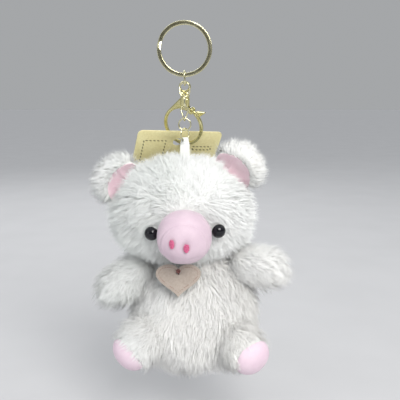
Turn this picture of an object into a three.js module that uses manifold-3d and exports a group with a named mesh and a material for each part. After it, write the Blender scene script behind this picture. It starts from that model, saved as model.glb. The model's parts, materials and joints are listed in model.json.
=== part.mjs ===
// A stuffed pig that hangs on a split ring, by a short chain, two jump rings and a ribbon loop.
// A swivel clasp hangs behind the chain and carries a card. A heart tag hangs under the pig's chin.
// Lengths are in millimetres, +Z is up and the pig faces -Y. The origin is the top of the split
// ring's hole, where the whole thing hangs. Left and right are as seen from the front.

import * as THREE from 'three';
import { mergeVertices } from 'three/addons/utils/BufferGeometryUtils.js';
import Module from 'manifold-3d';

const wasm = await Module();
wasm.setup();

// Shared
const air = 0.3; // between two pieces that touch
const overrun = 2; // how far a cut runs past what it cuts

// Split ring: one flat wire wound twice
const ringOuter = 30;
const ringWireWide = 2.3; // across the ring's face
const ringWireThick = 0.95; // along the ring's axis
const ringTurnGap = 0.42;
const ringCorner = 0.28;
const ringCrossing = THREE.MathUtils.degToRad(172); // where the wire changes sides
const ringCrossingHalf = THREE.MathUtils.degToRad(11);
const ringEndsHalf = THREE.MathUtils.degToRad(18); // from the crossing to each end of the wire
const ringStepsPerTurn = 32;

// Chain of four twisted links
const linkWire = 0.9;
const linkLong = 8.6; // outside
const linkInside = 4.6; // width of the hole
const linkTopSlack = 0.6; // from the split ring to the first link
const linkBack = -0.1; // the first link's middle, behind the split ring's
const linkMiddles = [90, 0, 90, 60].map(THREE.MathUtils.degToRad); // 0 faces the front
const linkTwists = [16, 30, 30, 60].map(THREE.MathUtils.degToRad);
const linkSteps = 24;
const wireSides = 6;
const sharedSeat = 1.4; // chain and clasp sit this far either side of the first link's middle

// Jump rings
const jumpWire = 0.8;
const jumpOuter = 7.4;
const lowerJumpTurn = THREE.MathUtils.degToRad(50);
const jumpSteps = 24;

// Swivel clasp
const eyeWire = 1.3;
const eyeOuter = 6.8;
const stemWide = 1.7;
const stemShows = 0.3; // between the eye and the barrel
const stemHeadWide = 3;
const stemHeadTall = 0.9;
const barrelWide = 5.6;
const barrelDeep = 4.5;
const barrelTall = 8.4;
const hookOuter = 24.4;
const hookAside = -1.2;
const hookWire = 1.9;
const bridgeWide = 2.6; // between the barrel and the gate's pivot
const shoulderAngle = THREE.MathUtils.degToRad(138); // from here the loop's outside runs straight to the barrel
const hookLeap = 0.9; // how far the loop's top rises into the barrel
const claspLean = THREE.MathUtils.degToRad(22);
const hookTurn = THREE.MathUtils.degToRad(-24);
const noseAngle = THREE.MathUtils.degToRad(-8);
const gatePivotAngle = THREE.MathUtils.degToRad(62);
const gateWire = 1.9;
const rivetWide = 1;
const rivetHeadWide = 1.7;
const rivetHeadTall = 0.35;
const cheekWide = 3.4; // the disc round the rivet
const cheekApart = 3.4; // outside, along the rivet
const lugWide = 2.8;
const lugThick = 1.3;
const thumbFoot = THREE.MathUtils.degToRad(33); // where it leaves the gate, along the loop
const thumbHead = THREE.MathUtils.degToRad(51);
const thumbHeadProud = 0.8; // past the loop's outside
const thumbTip = THREE.MathUtils.degToRad(35);
const thumbTipProud = 4.8;
const thumbTipTall = 1;
const springThick = 0.35;
const springWide = 1.2;
const springLong = 2.6;
const springTurn = THREE.MathUtils.degToRad(30); // from the pivot's own angle

// Card
const cardWide = 51;
const cardTall = 32;
const cardThick = 0.6;
const cardCorner = 3;
const cardHole = 5.4;
const cardHoleDrop = 8; // from the card's top edge
const cardHoleAside = -0.9; // from the card's middle
const cardHangs = 0.9; // its hole's middle, under the middle of the wire that carries it
const cardYaw = THREE.MathUtils.degToRad(18);
const cardLean = THREE.MathUtils.degToRad(35);
const cardRoll = THREE.MathUtils.degToRad(3);
const cardHoldAngle = THREE.MathUtils.degToRad(250); // where the clasp's loop carries it

// Ribbon loop
const ribbonWide = 5.2;
const ribbonGathered = 4; // over the ring
const ribbonFlareShare = 0.3; // of its length, until it is wide and square to the front
const ribbonThick = 0.45;
const ribbonLong = 9.6; // from the ring's wire down to the crown seam
const ribbonSewn = 4.2; // inside the head
const ribbonLegsApart = 0.5;
const ribbonCloseShare = 0.6; // of its length, until its legs lie together
const ribbonSteps = 9;
const bendSteps = 5;

// Stuffed parts, measured over the pressed pile
const plushThick = 3;
const velourThick = 1.2;
const headWide = 78;
const headDeep = 57;
const headTall = 59;
const headFullness = 2.2; // 2 is round, more is squarer
const headTaperShare = -0.05; // how much wider its top is
const headAside = -1.7; // from the ribbon
const headBack = 2.2;
const headNeckHole = 20;
const torsoWide = 69;
const torsoDeep = 50;
const torsoTall = 68;
const torsoFullness = 2.4;
const torsoTaperShare = -0.08;
const torsoAside = 7; // from the head's middle
const neckSunk = 5; // how far the torso's top reaches up round the head
const neckSwing = THREE.MathUtils.degToRad(8);
const limbFullness = 2.2;
const limbTaperShare = 0.06;
const limbSewnShare = 0.25; // of its length, from its middle back to where it is sewn on
const armWide = 24.6;
const armLong = 40;
const leftArmRootShares = [-0.858, -0.26, 0.753]; // of the torso's half sizes
const leftArmAlongShares = [-0.81, -0.25, -0.53];
const rightArmRootShares = [0.712, -0.232, 0.818];
const rightArmAlongShares = [0.97, -0.22, -0.05];
const armSwing = THREE.MathUtils.degToRad(15);
const legWide = 26.5;
const legLong = 34;
const leftLegRootShares = [-0.671, -0.6, -0.25];
const leftLegAlongShares = [-0.72, -0.47, -0.53];
const rightLegRootShares = [0.6, -0.66, -0.31];
const rightLegAlongShares = [0.6, -0.76, -0.4];
const legSwing = THREE.MathUtils.degToRad(12);
const soleWide = 22;
const soleThick = 1.1;
const snoutWide = 28.3;
const snoutTall = 27.5;
const snoutLong = 28;
const snoutFullness = 2.2;
const snoutAcrossShare = 0.05; // of the head's half width
const snoutLift = 7.5; // from the head's foot up to the snout's
const snoutProud = 5; // its middle, from the head's front
const nostrilWide = 2.7;
const nostrilTall = 4.5;
const nostrilThick = 0.7;
const leftNostrilShares = [-0.42, -0.06];
const rightNostrilShares = [0.1, -0.2];
const eyeBead = 7.6;
const eyeProud = 3.2;
const eyeStem = 2.2;
const eyeStemLong = 7.2;
const eyeWasher = 9;
const eyeWasherThick = 1;
const leftEyeGap = -0.8; // from the snout's widest, as seen from the front
const rightEyeGap = -0.3;
const leftEyeUpShare = -0.26; // of the head's half height
const rightEyeUpShare = -0.225;
const earWide = 27;
const earTall = 27;
const earDeep = 15;
const earFullness = 2.2;
const earHollowShare = 0.72; // of the ear's half sizes
const earHollowForward = 4.6;
const earLiningThick = 1.2;
const leftEarShares = [-0.905, 0.035, 0.56]; // of the head's half sizes
const leftEarFacesShares = [0.42, -0.86, -0.28];
const rightEarShares = [0.79, 0.035, 0.8];
const rightEarFacesShares = [-0.36, -0.86, -0.36];
const tailWire = 3;
const tailLoop = 9;
const tailTurnsShare = 1.1;
const tailSteps = 16;
const tailTaperShare = 0.45;
const tailUpShare = -0.3; // of the torso's half height

// Heart tag
const heartWide = 24;
const heartTall = 17.6;
const heartThick = 1.2;
const heartLean = THREE.MathUtils.degToRad(14);
const heartHole = 2.2;
const heartHoleDrop = 1.9; // from the notch between its lobes
const heartKnotShares = [-0.245, -0.6, 0.631]; // its inner knot, of the torso's half sizes
const heartThread = 0.9;
const heartKnot = 2.8;
const heartThreadLong = 14;
const heartThreadDown = THREE.MathUtils.degToRad(33);
const heartSteps = 28;
const heartCosineShares = [13, -4, -1.5, -0.5]; // a heart curve with a shallow notch

// Fineness: steps along bends and round bars, and columns and rows of the stuffed forms
const roundSteps = 18;
const smallSteps = 10;
const cornerSteps = 8;
const hookSteps = 28;
const shoulderSteps = 8;
const gateSteps = 10;
const neckSteps = 4;
const springSteps = 8;
const beadSteps = [12, 8];
const knotSteps = [8, 6];
const hollowSteps = [12, 8];
const headSteps = [24, 14];
const torsoSteps = [22, 12];
const limbSteps = [14, 10];
const snoutSteps = [16, 10];
const earSteps = [12, 8];

const finishes = {
  steel: new THREE.MeshStandardMaterial({ color: 0xc9bd98, roughness: 0.3, metalness: 1 }),
  clasp: new THREE.MeshStandardMaterial({ color: 0xd9b45a, roughness: 0.28, metalness: 1 }),
  ribbon: new THREE.MeshStandardMaterial({ color: 0xf4f4f2, roughness: 0.45, metalness: 0 }),
  card: new THREE.MeshStandardMaterial({ color: 0xcdbe8c, roughness: 0.9, metalness: 0 }),
  heart: new THREE.MeshStandardMaterial({ color: 0xd9c3b4, roughness: 0.85, metalness: 0 }),
  thread: new THREE.MeshStandardMaterial({ color: 0x6b3a3a, roughness: 0.8, metalness: 0 }),
  plush: new THREE.MeshStandardMaterial({ color: 0xeef0ea, roughness: 1, metalness: 0 }),
  filling: new THREE.MeshStandardMaterial({ color: 0xf7f7f4, roughness: 1, metalness: 0 }),
  velour: new THREE.MeshStandardMaterial({ color: 0xf2c9dc, roughness: 0.9, metalness: 0 }),
  stitch: new THREE.MeshStandardMaterial({ color: 0xc85078, roughness: 0.7, metalness: 0 }),
  bead: new THREE.MeshStandardMaterial({ color: 0x0c0c0e, roughness: 0.12, metalness: 0 }),
  washer: new THREE.MeshStandardMaterial({ color: 0xe8e8e6, roughness: 0.5, metalness: 0 }),
};

const vector = (x, y, z) => new THREE.Vector3(x, y, z);
const right = vector(1, 0, 0);
const back = vector(0, 1, 0);
const up = vector(0, 0, 1);

// Solids

function solid(geometry) {
  const bare = geometry.clone();
  bare.deleteAttribute('normal');
  bare.deleteAttribute('uv');
  const merged = mergeVertices(bare);
  return new wasm.Manifold(new wasm.Mesh({
    numProp: 3,
    vertProperties: merged.attributes.position.array,
    triVerts: merged.index.array,
  }));
}

function named(name, shape, material) {
  const { vertProperties, triVerts } = (shape.getMesh ? shape : solid(shape)).getMesh();
  const geometry = new THREE.BufferGeometry();
  geometry.setAttribute('position', new THREE.BufferAttribute(vertProperties, 3));
  geometry.setIndex(new THREE.BufferAttribute(triVerts, 1));
  geometry.computeVertexNormals();
  const mesh = new THREE.Mesh(geometry, material);
  mesh.name = name;
  return mesh;
}

// Joins rings of points, all wound alike, into one closed skin, with flat ends unless it loops
function skinned(rings, loops) {
  const sides = rings[0].length;
  const points = rings.flat();
  const faces = [];
  const spans = loops ? rings.length : rings.length - 1;
  for (let i = 0; i < spans; i++) {
    const here = i * sides;
    const next = ((i + 1) % rings.length) * sides;
    for (let j = 0; j < sides; j++) {
      const k = (j + 1) % sides;
      faces.push(here + j, here + k, next + k, here + j, next + k, next + j);
    }
  }
  if (!loops) {
    const last = (rings.length - 1) * sides;
    for (let j = 1; j < sides - 1; j++) {
      faces.push(0, j + 1, j, last, last + j, last + j + 1);
    }
  }
  let volume = 0;
  for (let i = 0; i < faces.length; i += 3) {
    const [a, b, c] = [points[faces[i]], points[faces[i + 1]], points[faces[i + 2]]];
    volume += a.dot(b.clone().cross(c));
  }
  if (volume < 0) faces.reverse();
  const geometry = new THREE.BufferGeometry();
  geometry.setAttribute('position', new THREE.Float32BufferAttribute(points.flatMap((p) => p.toArray()), 3));
  geometry.setIndex(faces);
  return geometry;
}

// A ring of points round a place on a path: outward and aside are unit vectors square to the path
const around = (place, outward, aside, outline) =>
  outline.map(([a, b]) => place.clone().addScaledVector(outward, a).addScaledVector(aside, b));

const circle = (radius, sides) => Array.from({ length: sides }, (_, i) => {
  const turned = (i + 0.5) / sides * 2 * Math.PI;
  return [radius * Math.cos(turned), radius * Math.sin(turned)];
});

// A rectangle with cut corners, wide by thick
function chamfered(wide, thick, corner) {
  const a = wide / 2;
  const b = thick / 2;
  return [
    [a, -b + corner], [a, b - corner], [a - corner, b], [-a + corner, b],
    [-a, b - corner], [-a, -b + corner], [-a + corner, -b], [a - corner, -b],
  ];
}

// A round bar from one point to another
function bar(from, to, wide, steps = smallSteps) {
  const along = to.clone().sub(from);
  const geometry = new THREE.CylinderGeometry(wide / 2, wide / 2, along.length(), steps);
  geometry.applyQuaternion(new THREE.Quaternion().setFromUnitVectors(back, along.clone().normalize()));
  geometry.translate(...from.clone().add(to).multiplyScalar(0.5).toArray());
  return solid(geometry);
}

function turned(shape, pivot, axis, angle) {
  const matrix = new THREE.Matrix4().makeTranslation(pivot)
    .multiply(new THREE.Matrix4().makeRotationAxis(axis, angle))
    .multiply(new THREE.Matrix4().makeTranslation(pivot.clone().negate()));
  return shape.transform(matrix.toArray());
}

// What a shape fills, seen from a piece that swings about a pivot to either side
const swung = (shape, pivot, axis, swing) => wasm.Manifold.union(
  [-1, 0, 1].map((share) => turned(shape, pivot, axis, share * swing)));

// Split ring

const ringRadius = (ringOuter - ringWireWide) / 2;
const ringMiddle = -ringOuter / 2 + ringWireWide;

function splitRing() {
  const sideStep = ringWireThick + ringTurnGap;
  const outline = chamfered(ringWireWide, ringWireThick, ringCorner);
  const steps = 2 * ringStepsPerTurn;
  const rings = [];
  for (let i = 0; i <= steps; i++) {
    const wound = ringEndsHalf + (i / steps) * (4 * Math.PI - 2 * ringEndsHalf);
    const angle = ringCrossing + wound;
    const across = THREE.MathUtils.smoothstep(wound, 2 * Math.PI - ringCrossingHalf, 2 * Math.PI + ringCrossingHalf);
    const outward = vector(Math.cos(angle), 0, Math.sin(angle));
    const place = outward.clone().multiplyScalar(ringRadius);
    place.y = sideStep * (0.5 - across);
    place.z += ringMiddle;
    rings.push(around(place, outward, back, outline));
  }
  let least = Infinity;
  for (let i = 0; i < rings.length; i++) {
    for (let j = i + ringStepsPerTurn / 2; j < rings.length; j++) {
      for (const a of rings[i]) for (const b of rings[j]) least = Math.min(least, a.distanceTo(b));
    }
  }
  console.log(`split ring: least gap between its turns ${least.toFixed(3)} mm`);
  return skinned(rings, false);
}

// Chain and jump rings, each placed by the middle of the wire at its top

const linkHalf = (linkLong - linkWire) / 2; // to the middle of the wire
const linkBend = (linkInside + linkWire) / 2;
const linkPitch = linkLong - 2 * linkWire - air;
const jumpRadius = (jumpOuter - jumpWire) / 2;

function chainLink(middle, twist) {
  const straight = linkHalf - linkBend;
  const rings = [];
  for (let i = 0; i < linkSteps; i++) {
    const angle = (i / linkSteps) * 2 * Math.PI;
    const flat = vector(Math.cos(angle), 0, Math.sin(angle));
    const height = linkBend * flat.z + straight * Math.sign(Math.round(flat.z / Number.EPSILON ** 0.5));
    const turn = middle - twist / 2 * (height / linkHalf);
    const outward = flat.clone().applyAxisAngle(up, turn);
    const place = vector(linkBend * flat.x, 0, height).applyAxisAngle(up, turn);
    rings.push(around(place, outward, back.clone().applyAxisAngle(up, turn), circle(linkWire / 2, wireSides)));
  }
  return skinned(rings, true);
}

function jumpRing(turn) {
  const geometry = new THREE.TorusGeometry(jumpRadius, jumpWire / 2, wireSides, jumpSteps);
  geometry.rotateX(Math.PI / 2);
  geometry.rotateZ(turn);
  return geometry;
}

const linkTop = -ringOuter + 2 * ringWireWide + linkTopSlack + linkWire / 2;
const linkTops = linkMiddles.map((_, i) => linkTop - i * linkPitch);
const linkPlaces = linkTops.map((top, i) => vector(0, linkBack - (i ? sharedSeat : 0), top - linkHalf));
// the chain's seat on the first link lies where the wire already rises
const seatRise = linkBend - Math.sqrt(linkBend ** 2 - sharedSeat ** 2);
linkPlaces.slice(1).forEach((place) => { place.z += seatRise; });
const chainBack = linkPlaces[1].y;
const clawSeat = vector(0, linkBack + sharedSeat, linkPlaces[0].z - linkHalf + seatRise);
const upperJumpTop = linkPlaces[3].z - linkHalf + (linkWire + jumpWire) / 2 + air;
const upperJumpPlace = vector(0, chainBack, upperJumpTop - jumpRadius);
const lowerJumpPlace = vector(0, chainBack, upperJumpPlace.z - 2 * jumpRadius + jumpWire + air);
const ribbonSeat = vector(0, chainBack, lowerJumpPlace.z - jumpRadius);

// Clasp, drawn with its seat on the chain at the origin and its loop below

const eyeRadius = (eyeOuter - eyeWire) / 2;
const eyeMiddle = (linkWire + eyeWire) / 2 + air - eyeRadius;
const barrelTop = eyeMiddle - eyeOuter / 2 - stemShows;
const hookRadius = (hookOuter - hookWire) / 2;
const hookMiddle = barrelTop - barrelTall - hookOuter / 2 + hookLeap;
const headRoomTop = barrelTop - (barrelDeep - stemHeadWide) / 2;
const onLoop = (angle, radius = hookRadius) =>
  vector(hookAside + radius * Math.cos(angle), 0, hookMiddle + radius * Math.sin(angle));
const gatePivot = onLoop(gatePivotAngle);
const slotWide = lugThick + 2 * air;
const gateStart = gatePivotAngle - (cheekWide / 2 + 2 * air) / hookRadius;
const gateNeckGap = air / hookRadius;
// the gate's end and the nose meet on a circle round the pivot, so that the gate swings past the nose
const noseReach = gatePivot.distanceTo(onLoop(noseAngle));
const noseMargin = hookWire / hookRadius;
const pivotDisc = (radius) => bar(
  gatePivot.clone().addScaledVector(back, -hookWire),
  gatePivot.clone().addScaledVector(back, hookWire), 2 * radius, 2 * hookSteps);

// A stretch of the loop, between the radii of its inside and outside at each angle
function loopArc(from, to, radiiAt, thick, steps) {
  const rings = [];
  for (let i = 0; i <= steps; i++) {
    const angle = from + (i / steps) * (to - from);
    const outward = vector(Math.cos(angle), 0, Math.sin(angle));
    const [inside, outside] = radiiAt(angle);
    const middle = onLoop(angle, (inside + outside) / 2);
    rings.push(around(middle, outward, back, chamfered(outside - inside, thick, ringCorner)));
  }
  return solid(skinned(rings, false));
}

const evenly = (wide) => () => [hookRadius - wide / 2, hookRadius + wide / 2];

// The loop's plain side widens into a flat shoulder, whose outside runs straight up to the barrel
const shouldered = (angle) =>
  [hookRadius - hookWire / 2, hookOuter / 2 / Math.cos(Math.max(0, shoulderAngle - angle))];

function claspEye() {
  const eye = new THREE.TorusGeometry(eyeRadius, eyeWire / 2, smallSteps / 2, roundSteps);
  eye.rotateX(Math.PI / 2);
  eye.translate(0, 0, eyeMiddle);
  const stemBottom = headRoomTop - air - stemHeadTall;
  const stem = bar(vector(0, 0, eyeMiddle - eyeRadius), vector(0, 0, stemBottom), stemWide);
  const head = bar(vector(0, 0, headRoomTop - air), vector(0, 0, stemBottom), stemHeadWide);
  return solid(eye).add(stem).add(head);
}

function claspBody() {
  const loopFrom = Math.PI / 2;
  const shoulder = loopArc(loopFrom, shoulderAngle, shouldered, hookWire, shoulderSteps);
  const loop = loopArc(shoulderAngle, 2 * Math.PI + noseAngle - noseMargin, shouldered, hookWire, hookSteps);
  const nose = loopArc(noseAngle - noseMargin, noseAngle + noseMargin, evenly(hookWire), hookWire, neckSteps)
    .subtract(pivotDisc(noseReach));
  const bridge = loopArc(gatePivotAngle, loopFrom, evenly(bridgeWide), cheekApart, neckSteps);
  const cheeks = bar(
    gatePivot.clone().addScaledVector(back, -cheekApart / 2),
    gatePivot.clone().addScaledVector(back, cheekApart / 2), cheekWide);
  const barrelFoot = hookMiddle + hookRadius;
  const barrel = bar(vector(0, 0, barrelTop), vector(0, 0, barrelFoot), barrelDeep)
    .scale([barrelWide / barrelDeep, 1, 1]);
  const room = bar(
    vector(0, 0, headRoomTop), vector(0, 0, headRoomTop - stemHeadTall - 2 * air), stemHeadWide + 2 * air);
  const mouth = bar(vector(0, 0, barrelTop + overrun), vector(0, 0, headRoomTop - air), stemWide + 2 * air);
  const slot = bar(
    gatePivot.clone().addScaledVector(back, -slotWide / 2),
    gatePivot.clone().addScaledVector(back, slotWide / 2), cheekWide + 2 * air + 2 * springLong / 3);
  const rivetHole = bar(
    gatePivot.clone().addScaledVector(back, -cheekApart),
    gatePivot.clone().addScaledVector(back, cheekApart), rivetWide + 2 * air);
  return loop.add(shoulder).add(nose).add(bridge).add(cheeks).add(barrel)
    .subtract(room).subtract(mouth).subtract(slot).subtract(rivetHole);
}

function claspGate() {
  const arm = loopArc(noseAngle - noseMargin, gateStart, evenly(gateWire), gateWire, gateSteps)
    .intersect(pivotDisc(noseReach - air));
  const neck = loopArc(gateStart - gateNeckGap, gatePivotAngle, evenly(gateWire), lugThick, neckSteps);
  const lug = bar(
    gatePivot.clone().addScaledVector(back, -lugThick / 2),
    gatePivot.clone().addScaledVector(back, lugThick / 2), lugWide);
  const hole = bar(
    gatePivot.clone().addScaledVector(back, -overrun),
    gatePivot.clone().addScaledVector(back, overrun), rivetWide + 2 * air);
  const outside = hookOuter / 2;
  const tipTurn = thumbTipTall / (outside + thumbTipProud);
  const corners = [
    onLoop(thumbFoot),
    onLoop(thumbTip, outside + thumbTipProud),
    onLoop(thumbTip + tipTurn, outside + thumbTipProud),
    onLoop(thumbHead, outside + thumbHeadProud),
    onLoop(thumbHead),
  ];
  const thumb = plate(new THREE.Shape(corners.map(({ x, z }) => new THREE.Vector2(x, z))), gateWire);
  return arm.add(neck).add(lug).add(solid(thumb)).subtract(hole);
}

function claspRivet() {
  const reach = cheekApart / 2 + air;
  const end = (side, past) => gatePivot.clone().addScaledVector(back, side * (reach + past));
  return bar(end(-1, 0), end(1, 0), rivetWide)
    .add(bar(end(-1, 0), end(-1, rivetHeadTall), rivetHeadWide))
    .add(bar(end(1, 0), end(1, rivetHeadTall), rivetHeadWide));
}

// A bent leaf in the slot, behind the lug
function claspSpring() {
  const radius = lugWide / 2 + air + springThick / 2;
  const rings = [];
  for (let i = 0; i <= springSteps; i++) {
    const angle = gatePivotAngle + springTurn + (i / springSteps) * (springLong / radius);
    const outward = vector(Math.cos(angle), 0, Math.sin(angle));
    const place = gatePivot.clone().addScaledVector(outward, radius);
    rings.push(around(place, outward, back, chamfered(springThick, springWide, springThick / 4)));
  }
  return skinned(rings, false);
}

// Card and heart, drawn upright with what carries them at the origin

function plate(shape, thick) {
  const geometry = new THREE.ExtrudeGeometry(shape, { depth: thick, bevelEnabled: false, curveSegments: cornerSteps });
  geometry.translate(0, 0, -thick / 2);
  geometry.rotateX(Math.PI / 2);
  return geometry;
}

function roundHole(wide) {
  const hole = new THREE.Path();
  hole.absarc(0, 0, wide / 2, 0, 2 * Math.PI, true);
  return hole;
}

function swingCard() {
  const left = -cardWide / 2 - cardHoleAside;
  const top = cardHoleDrop;
  const [a, b] = [left + cardCorner, left + cardWide - cardCorner];
  const [c, d] = [top - cardTall + cardCorner, top - cardCorner];
  const shape = new THREE.Shape();
  shape.absarc(b, d, cardCorner, 0, Math.PI / 2);
  shape.absarc(a, d, cardCorner, Math.PI / 2, Math.PI);
  shape.absarc(a, c, cardCorner, Math.PI, 1.5 * Math.PI);
  shape.absarc(b, c, cardCorner, 1.5 * Math.PI, 2 * Math.PI);
  shape.holes.push(roundHole(cardHole));
  return plate(shape, cardThick).translate(0, 0, -cardHangs);
}

function heartTag() {
  const curve = (t) => heartCosineShares.reduce((sum, share, i) => sum + share * Math.cos((i + 1) * t), 0);
  const turns = Array.from({ length: heartSteps }, (_, i) => (i / heartSteps) * 2 * Math.PI);
  const heights = turns.map(curve);
  const rise = heartTall / (Math.max(...heights) - Math.min(...heights));
  const outline = turns.map((t, i) => new THREE.Vector2(
    -heartWide / 2 * Math.sin(t) ** 3, (heights[i] - curve(0)) * rise + heartHoleDrop));
  const shape = new THREE.Shape(outline);
  shape.holes.push(roundHole(heartHole));
  return plate(shape, heartThick);
}

// Ribbon loop, drawn with the ring's wire at the origin: a teardrop, folded over the wire,
// gathered there and turned with the ring, then flat and square to the front at the seam

function ribbonLoop() {
  const bend = (jumpWire + ribbonThick) / 2 + air;
  const bendMiddle = ribbonGathered ** 2 / (8 * jumpRadius);
  const drop = ribbonLong + ribbonSewn;
  const half = [];
  for (let i = 0; i <= bendSteps; i++) {
    const angle = Math.PI / 2 * (1 - i / bendSteps);
    half.push([bend * Math.cos(angle), bendMiddle + bend * Math.sin(angle)]);
  }
  for (let i = 1; i <= ribbonSteps; i++) {
    const share = THREE.MathUtils.smoothstep(i / ribbonSteps, 0, ribbonCloseShare);
    half.push([THREE.MathUtils.lerp(bend, (ribbonLegsApart + ribbonThick) / 2, share), -drop * i / ribbonSteps]);
  }
  const path = [...half, ...half.slice(1).reverse().map(([y, z]) => [-y, z])];
  const rings = path.map(([y, z], i) => {
    const before = path[(i + path.length - 1) % path.length];
    const after = path[(i + 1) % path.length];
    const outward = vector(0, before[1] - after[1], after[0] - before[0]).normalize();
    const share = THREE.MathUtils.smoothstep(-z / ribbonLong, 0, ribbonFlareShare);
    const wide = THREE.MathUtils.lerp(ribbonGathered, ribbonWide, share);
    return [[-1, 1], [1, 1], [1, -1], [-1, -1]].map(([aside, out]) => vector(aside * wide / 2, y, z)
      .addScaledVector(outward, out * ribbonThick / 2)
      .applyAxisAngle(up, lowerJumpTurn * (1 - share)));
  });
  return skinned(rings, true);
}

// Stuffed forms: a ball, squared a little, tapered along its own Z, turned and placed

function form(middle, wide, deep, tall, fullness = 2, taper = 0, along = up) {
  return { middle, reach: vector(wide / 2, deep / 2, tall / 2), fullness, taper, along };
}

function stuffed({ middle, reach, fullness, taper, along }, grow, [columns, rows]) {
  const ball = new THREE.SphereGeometry(1, columns, rows);
  ball.rotateX(Math.PI / 2);
  const turn = new THREE.Quaternion().setFromUnitVectors(up, along);
  const place = ball.attributes.position;
  const point = vector(0, 0, 0);
  for (let i = 0; i < place.count; i++) {
    point.fromBufferAttribute(place, i);
    const norm = [point.x, point.y, point.z].reduce((sum, c) => sum + Math.abs(c) ** fullness, 0);
    point.multiplyScalar(norm ** (-1 / fullness));
    const swell = 1 + taper * point.z;
    point.x *= (reach.x + grow) * swell;
    point.y *= (reach.y + grow) * swell;
    point.z *= reach.z + grow;
    point.applyQuaternion(turn).add(middle);
    place.setXYZ(i, point.x, point.y, point.z);
  }
  return solid(ball);
}

// A place on a form's front and the way that it faces there, by shares of its half sizes
function onFront({ middle, reach, fullness, taper }, [across, high]) {
  const swell = 1 + taper * high;
  const x = across / swell;
  const depth = (1 - Math.abs(x) ** fullness - Math.abs(high) ** fullness) ** (1 / fullness);
  const place = vector(across * reach.x, -depth * reach.y * swell, high * reach.z).add(middle);
  const slope = (share) => Math.sign(share) * Math.abs(share) ** (fullness - 1);
  const facing = vector(slope(x) / reach.x, slope(-depth) / reach.y, slope(high) / reach.z).normalize();
  return { place, facing };
}

const headMiddle = vector(headAside, headBack, -ribbonLong - headTall / 2);
const headFoot = headMiddle.z - headTall / 2;
const torsoMiddle = vector(headMiddle.x + torsoAside, headMiddle.y, headFoot + neckSunk - torsoTall / 2);
const neckPivot = vector(torsoMiddle.x, headMiddle.y, headFoot + neckSunk / 2);

const head = form(headMiddle, headWide, headDeep, headTall, headFullness, headTaperShare);
const torso = form(torsoMiddle, torsoWide, torsoDeep, torsoTall, torsoFullness, torsoTaperShare);
const snoutUpShare = (snoutLift + snoutTall / 2) / head.reach.z - 1;
const snoutSeat = onFront(head, [snoutAcrossShare, snoutUpShare]);
const snoutMiddle = snoutSeat.place.clone().addScaledVector(back, -snoutProud);
const snout = form(snoutMiddle, snoutWide, snoutLong, snoutTall, snoutFullness);
const within = ({ middle, reach }, shares) => vector(...shares).multiply(reach).add(middle);
const unit = (shares) => vector(...shares).normalize();

function limb(rootShares, alongShares, wide, long, swing, axis) {
  const along = unit(alongShares);
  const pivot = within(torso, rootShares);
  const middle = pivot.clone().addScaledVector(along, limbSewnShare * long);
  return { shape: form(middle, wide, wide, long, limbFullness, limbTaperShare, along), pivot, long, swing, axis };
}

const limbs = {
  arm_left: limb(leftArmRootShares, leftArmAlongShares, armWide, armLong, armSwing, back),
  arm_right: limb(rightArmRootShares, rightArmAlongShares, armWide, armLong, armSwing, back),
  leg_left: limb(leftLegRootShares, leftLegAlongShares, legWide, legLong, legSwing, right),
  leg_right: limb(rightLegRootShares, rightLegAlongShares, legWide, legLong, legSwing, right),
};

const hollowOr = (steps, grow) => (grow < 0 ? hollowSteps : steps);
const headSolid = (grow) => stuffed(head, grow, hollowOr(headSteps, grow));
const torsoSolid = (grow) => stuffed(torso, grow, hollowOr(torsoSteps, grow));
const snoutSolid = (grow) => stuffed(snout, grow, hollowOr(snoutSteps, grow));

// The eyes' posts and washers, and the ribbon's and thread's places, as pockets in skin and filling
const besideSnoutShare = (gap) => (snoutWide / 2 + eyeBead / 2 + gap) / head.reach.x;
const eyes = {
  eye_left: [snoutAcrossShare - besideSnoutShare(leftEyeGap), leftEyeUpShare],
  eye_right: [snoutAcrossShare + besideSnoutShare(rightEyeGap), rightEyeUpShare],
};

function eyeParts(shares) {
  const { place, facing } = onFront(head, shares);
  const at = (out) => place.clone().addScaledVector(facing, out);
  const washerOut = -plushThick - 2 * air;
  const washerIn = washerOut - eyeWasherThick;
  const bead = stuffed(
    form(at(air + eyeProud / 4), eyeBead, eyeBead, 2 * eyeProud, 2, 0, facing), 0, beadSteps);
  const behind = bar(at(air), at(-eyeBead), eyeBead + overrun);
  return {
    bead: bead.subtract(behind).add(bar(at(2 * air), at(-eyeStemLong + air), eyeStem)),
    washer: bar(at(washerOut), at(washerIn), eyeWasher).subtract(bar(at(0), at(-eyeStemLong), eyeStem + 2 * air)),
    hole: bar(at(overrun), at(-eyeStemLong - 2 * air), eyeStem + 2 * air),
    pocket: bar(at(washerOut + air), at(washerIn - plushThick), eyeWasher + 2 * air),
  };
}

const eyeSets = Object.fromEntries(Object.entries(eyes).map(([name, shares]) => [name, eyeParts(shares)]));

const ribbonSlot = solid(new THREE.BoxGeometry(
  ribbonWide + 2 * air, ribbonLegsApart + 2 * ribbonThick + 2 * air, 2 * (ribbonSewn + air))
  .translate(0, 0, -ribbonLong));

const threadAlong = vector(0, Math.cos(heartThreadDown), -Math.sin(heartThreadDown));
const heartHolePlace = within(torso, heartKnotShares).addScaledVector(threadAlong, -heartThreadLong);
const threadAt = (out) => heartHolePlace.clone().addScaledVector(threadAlong, out);
const threadHole = bar(threadAt(0), threadAt(heartThreadLong + air), heartThread + 2 * air);
const knotForm = (out) => form(threadAt(out), heartKnot, heartKnot, heartKnot);
const knotPocket = stuffed(knotForm(heartThreadLong), air, knotSteps)
  .add(threadHole);

// Skins and fillings

const neckCut = (grow) => swung(headSolid(grow), neckPivot, right, neckSwing);

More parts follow.
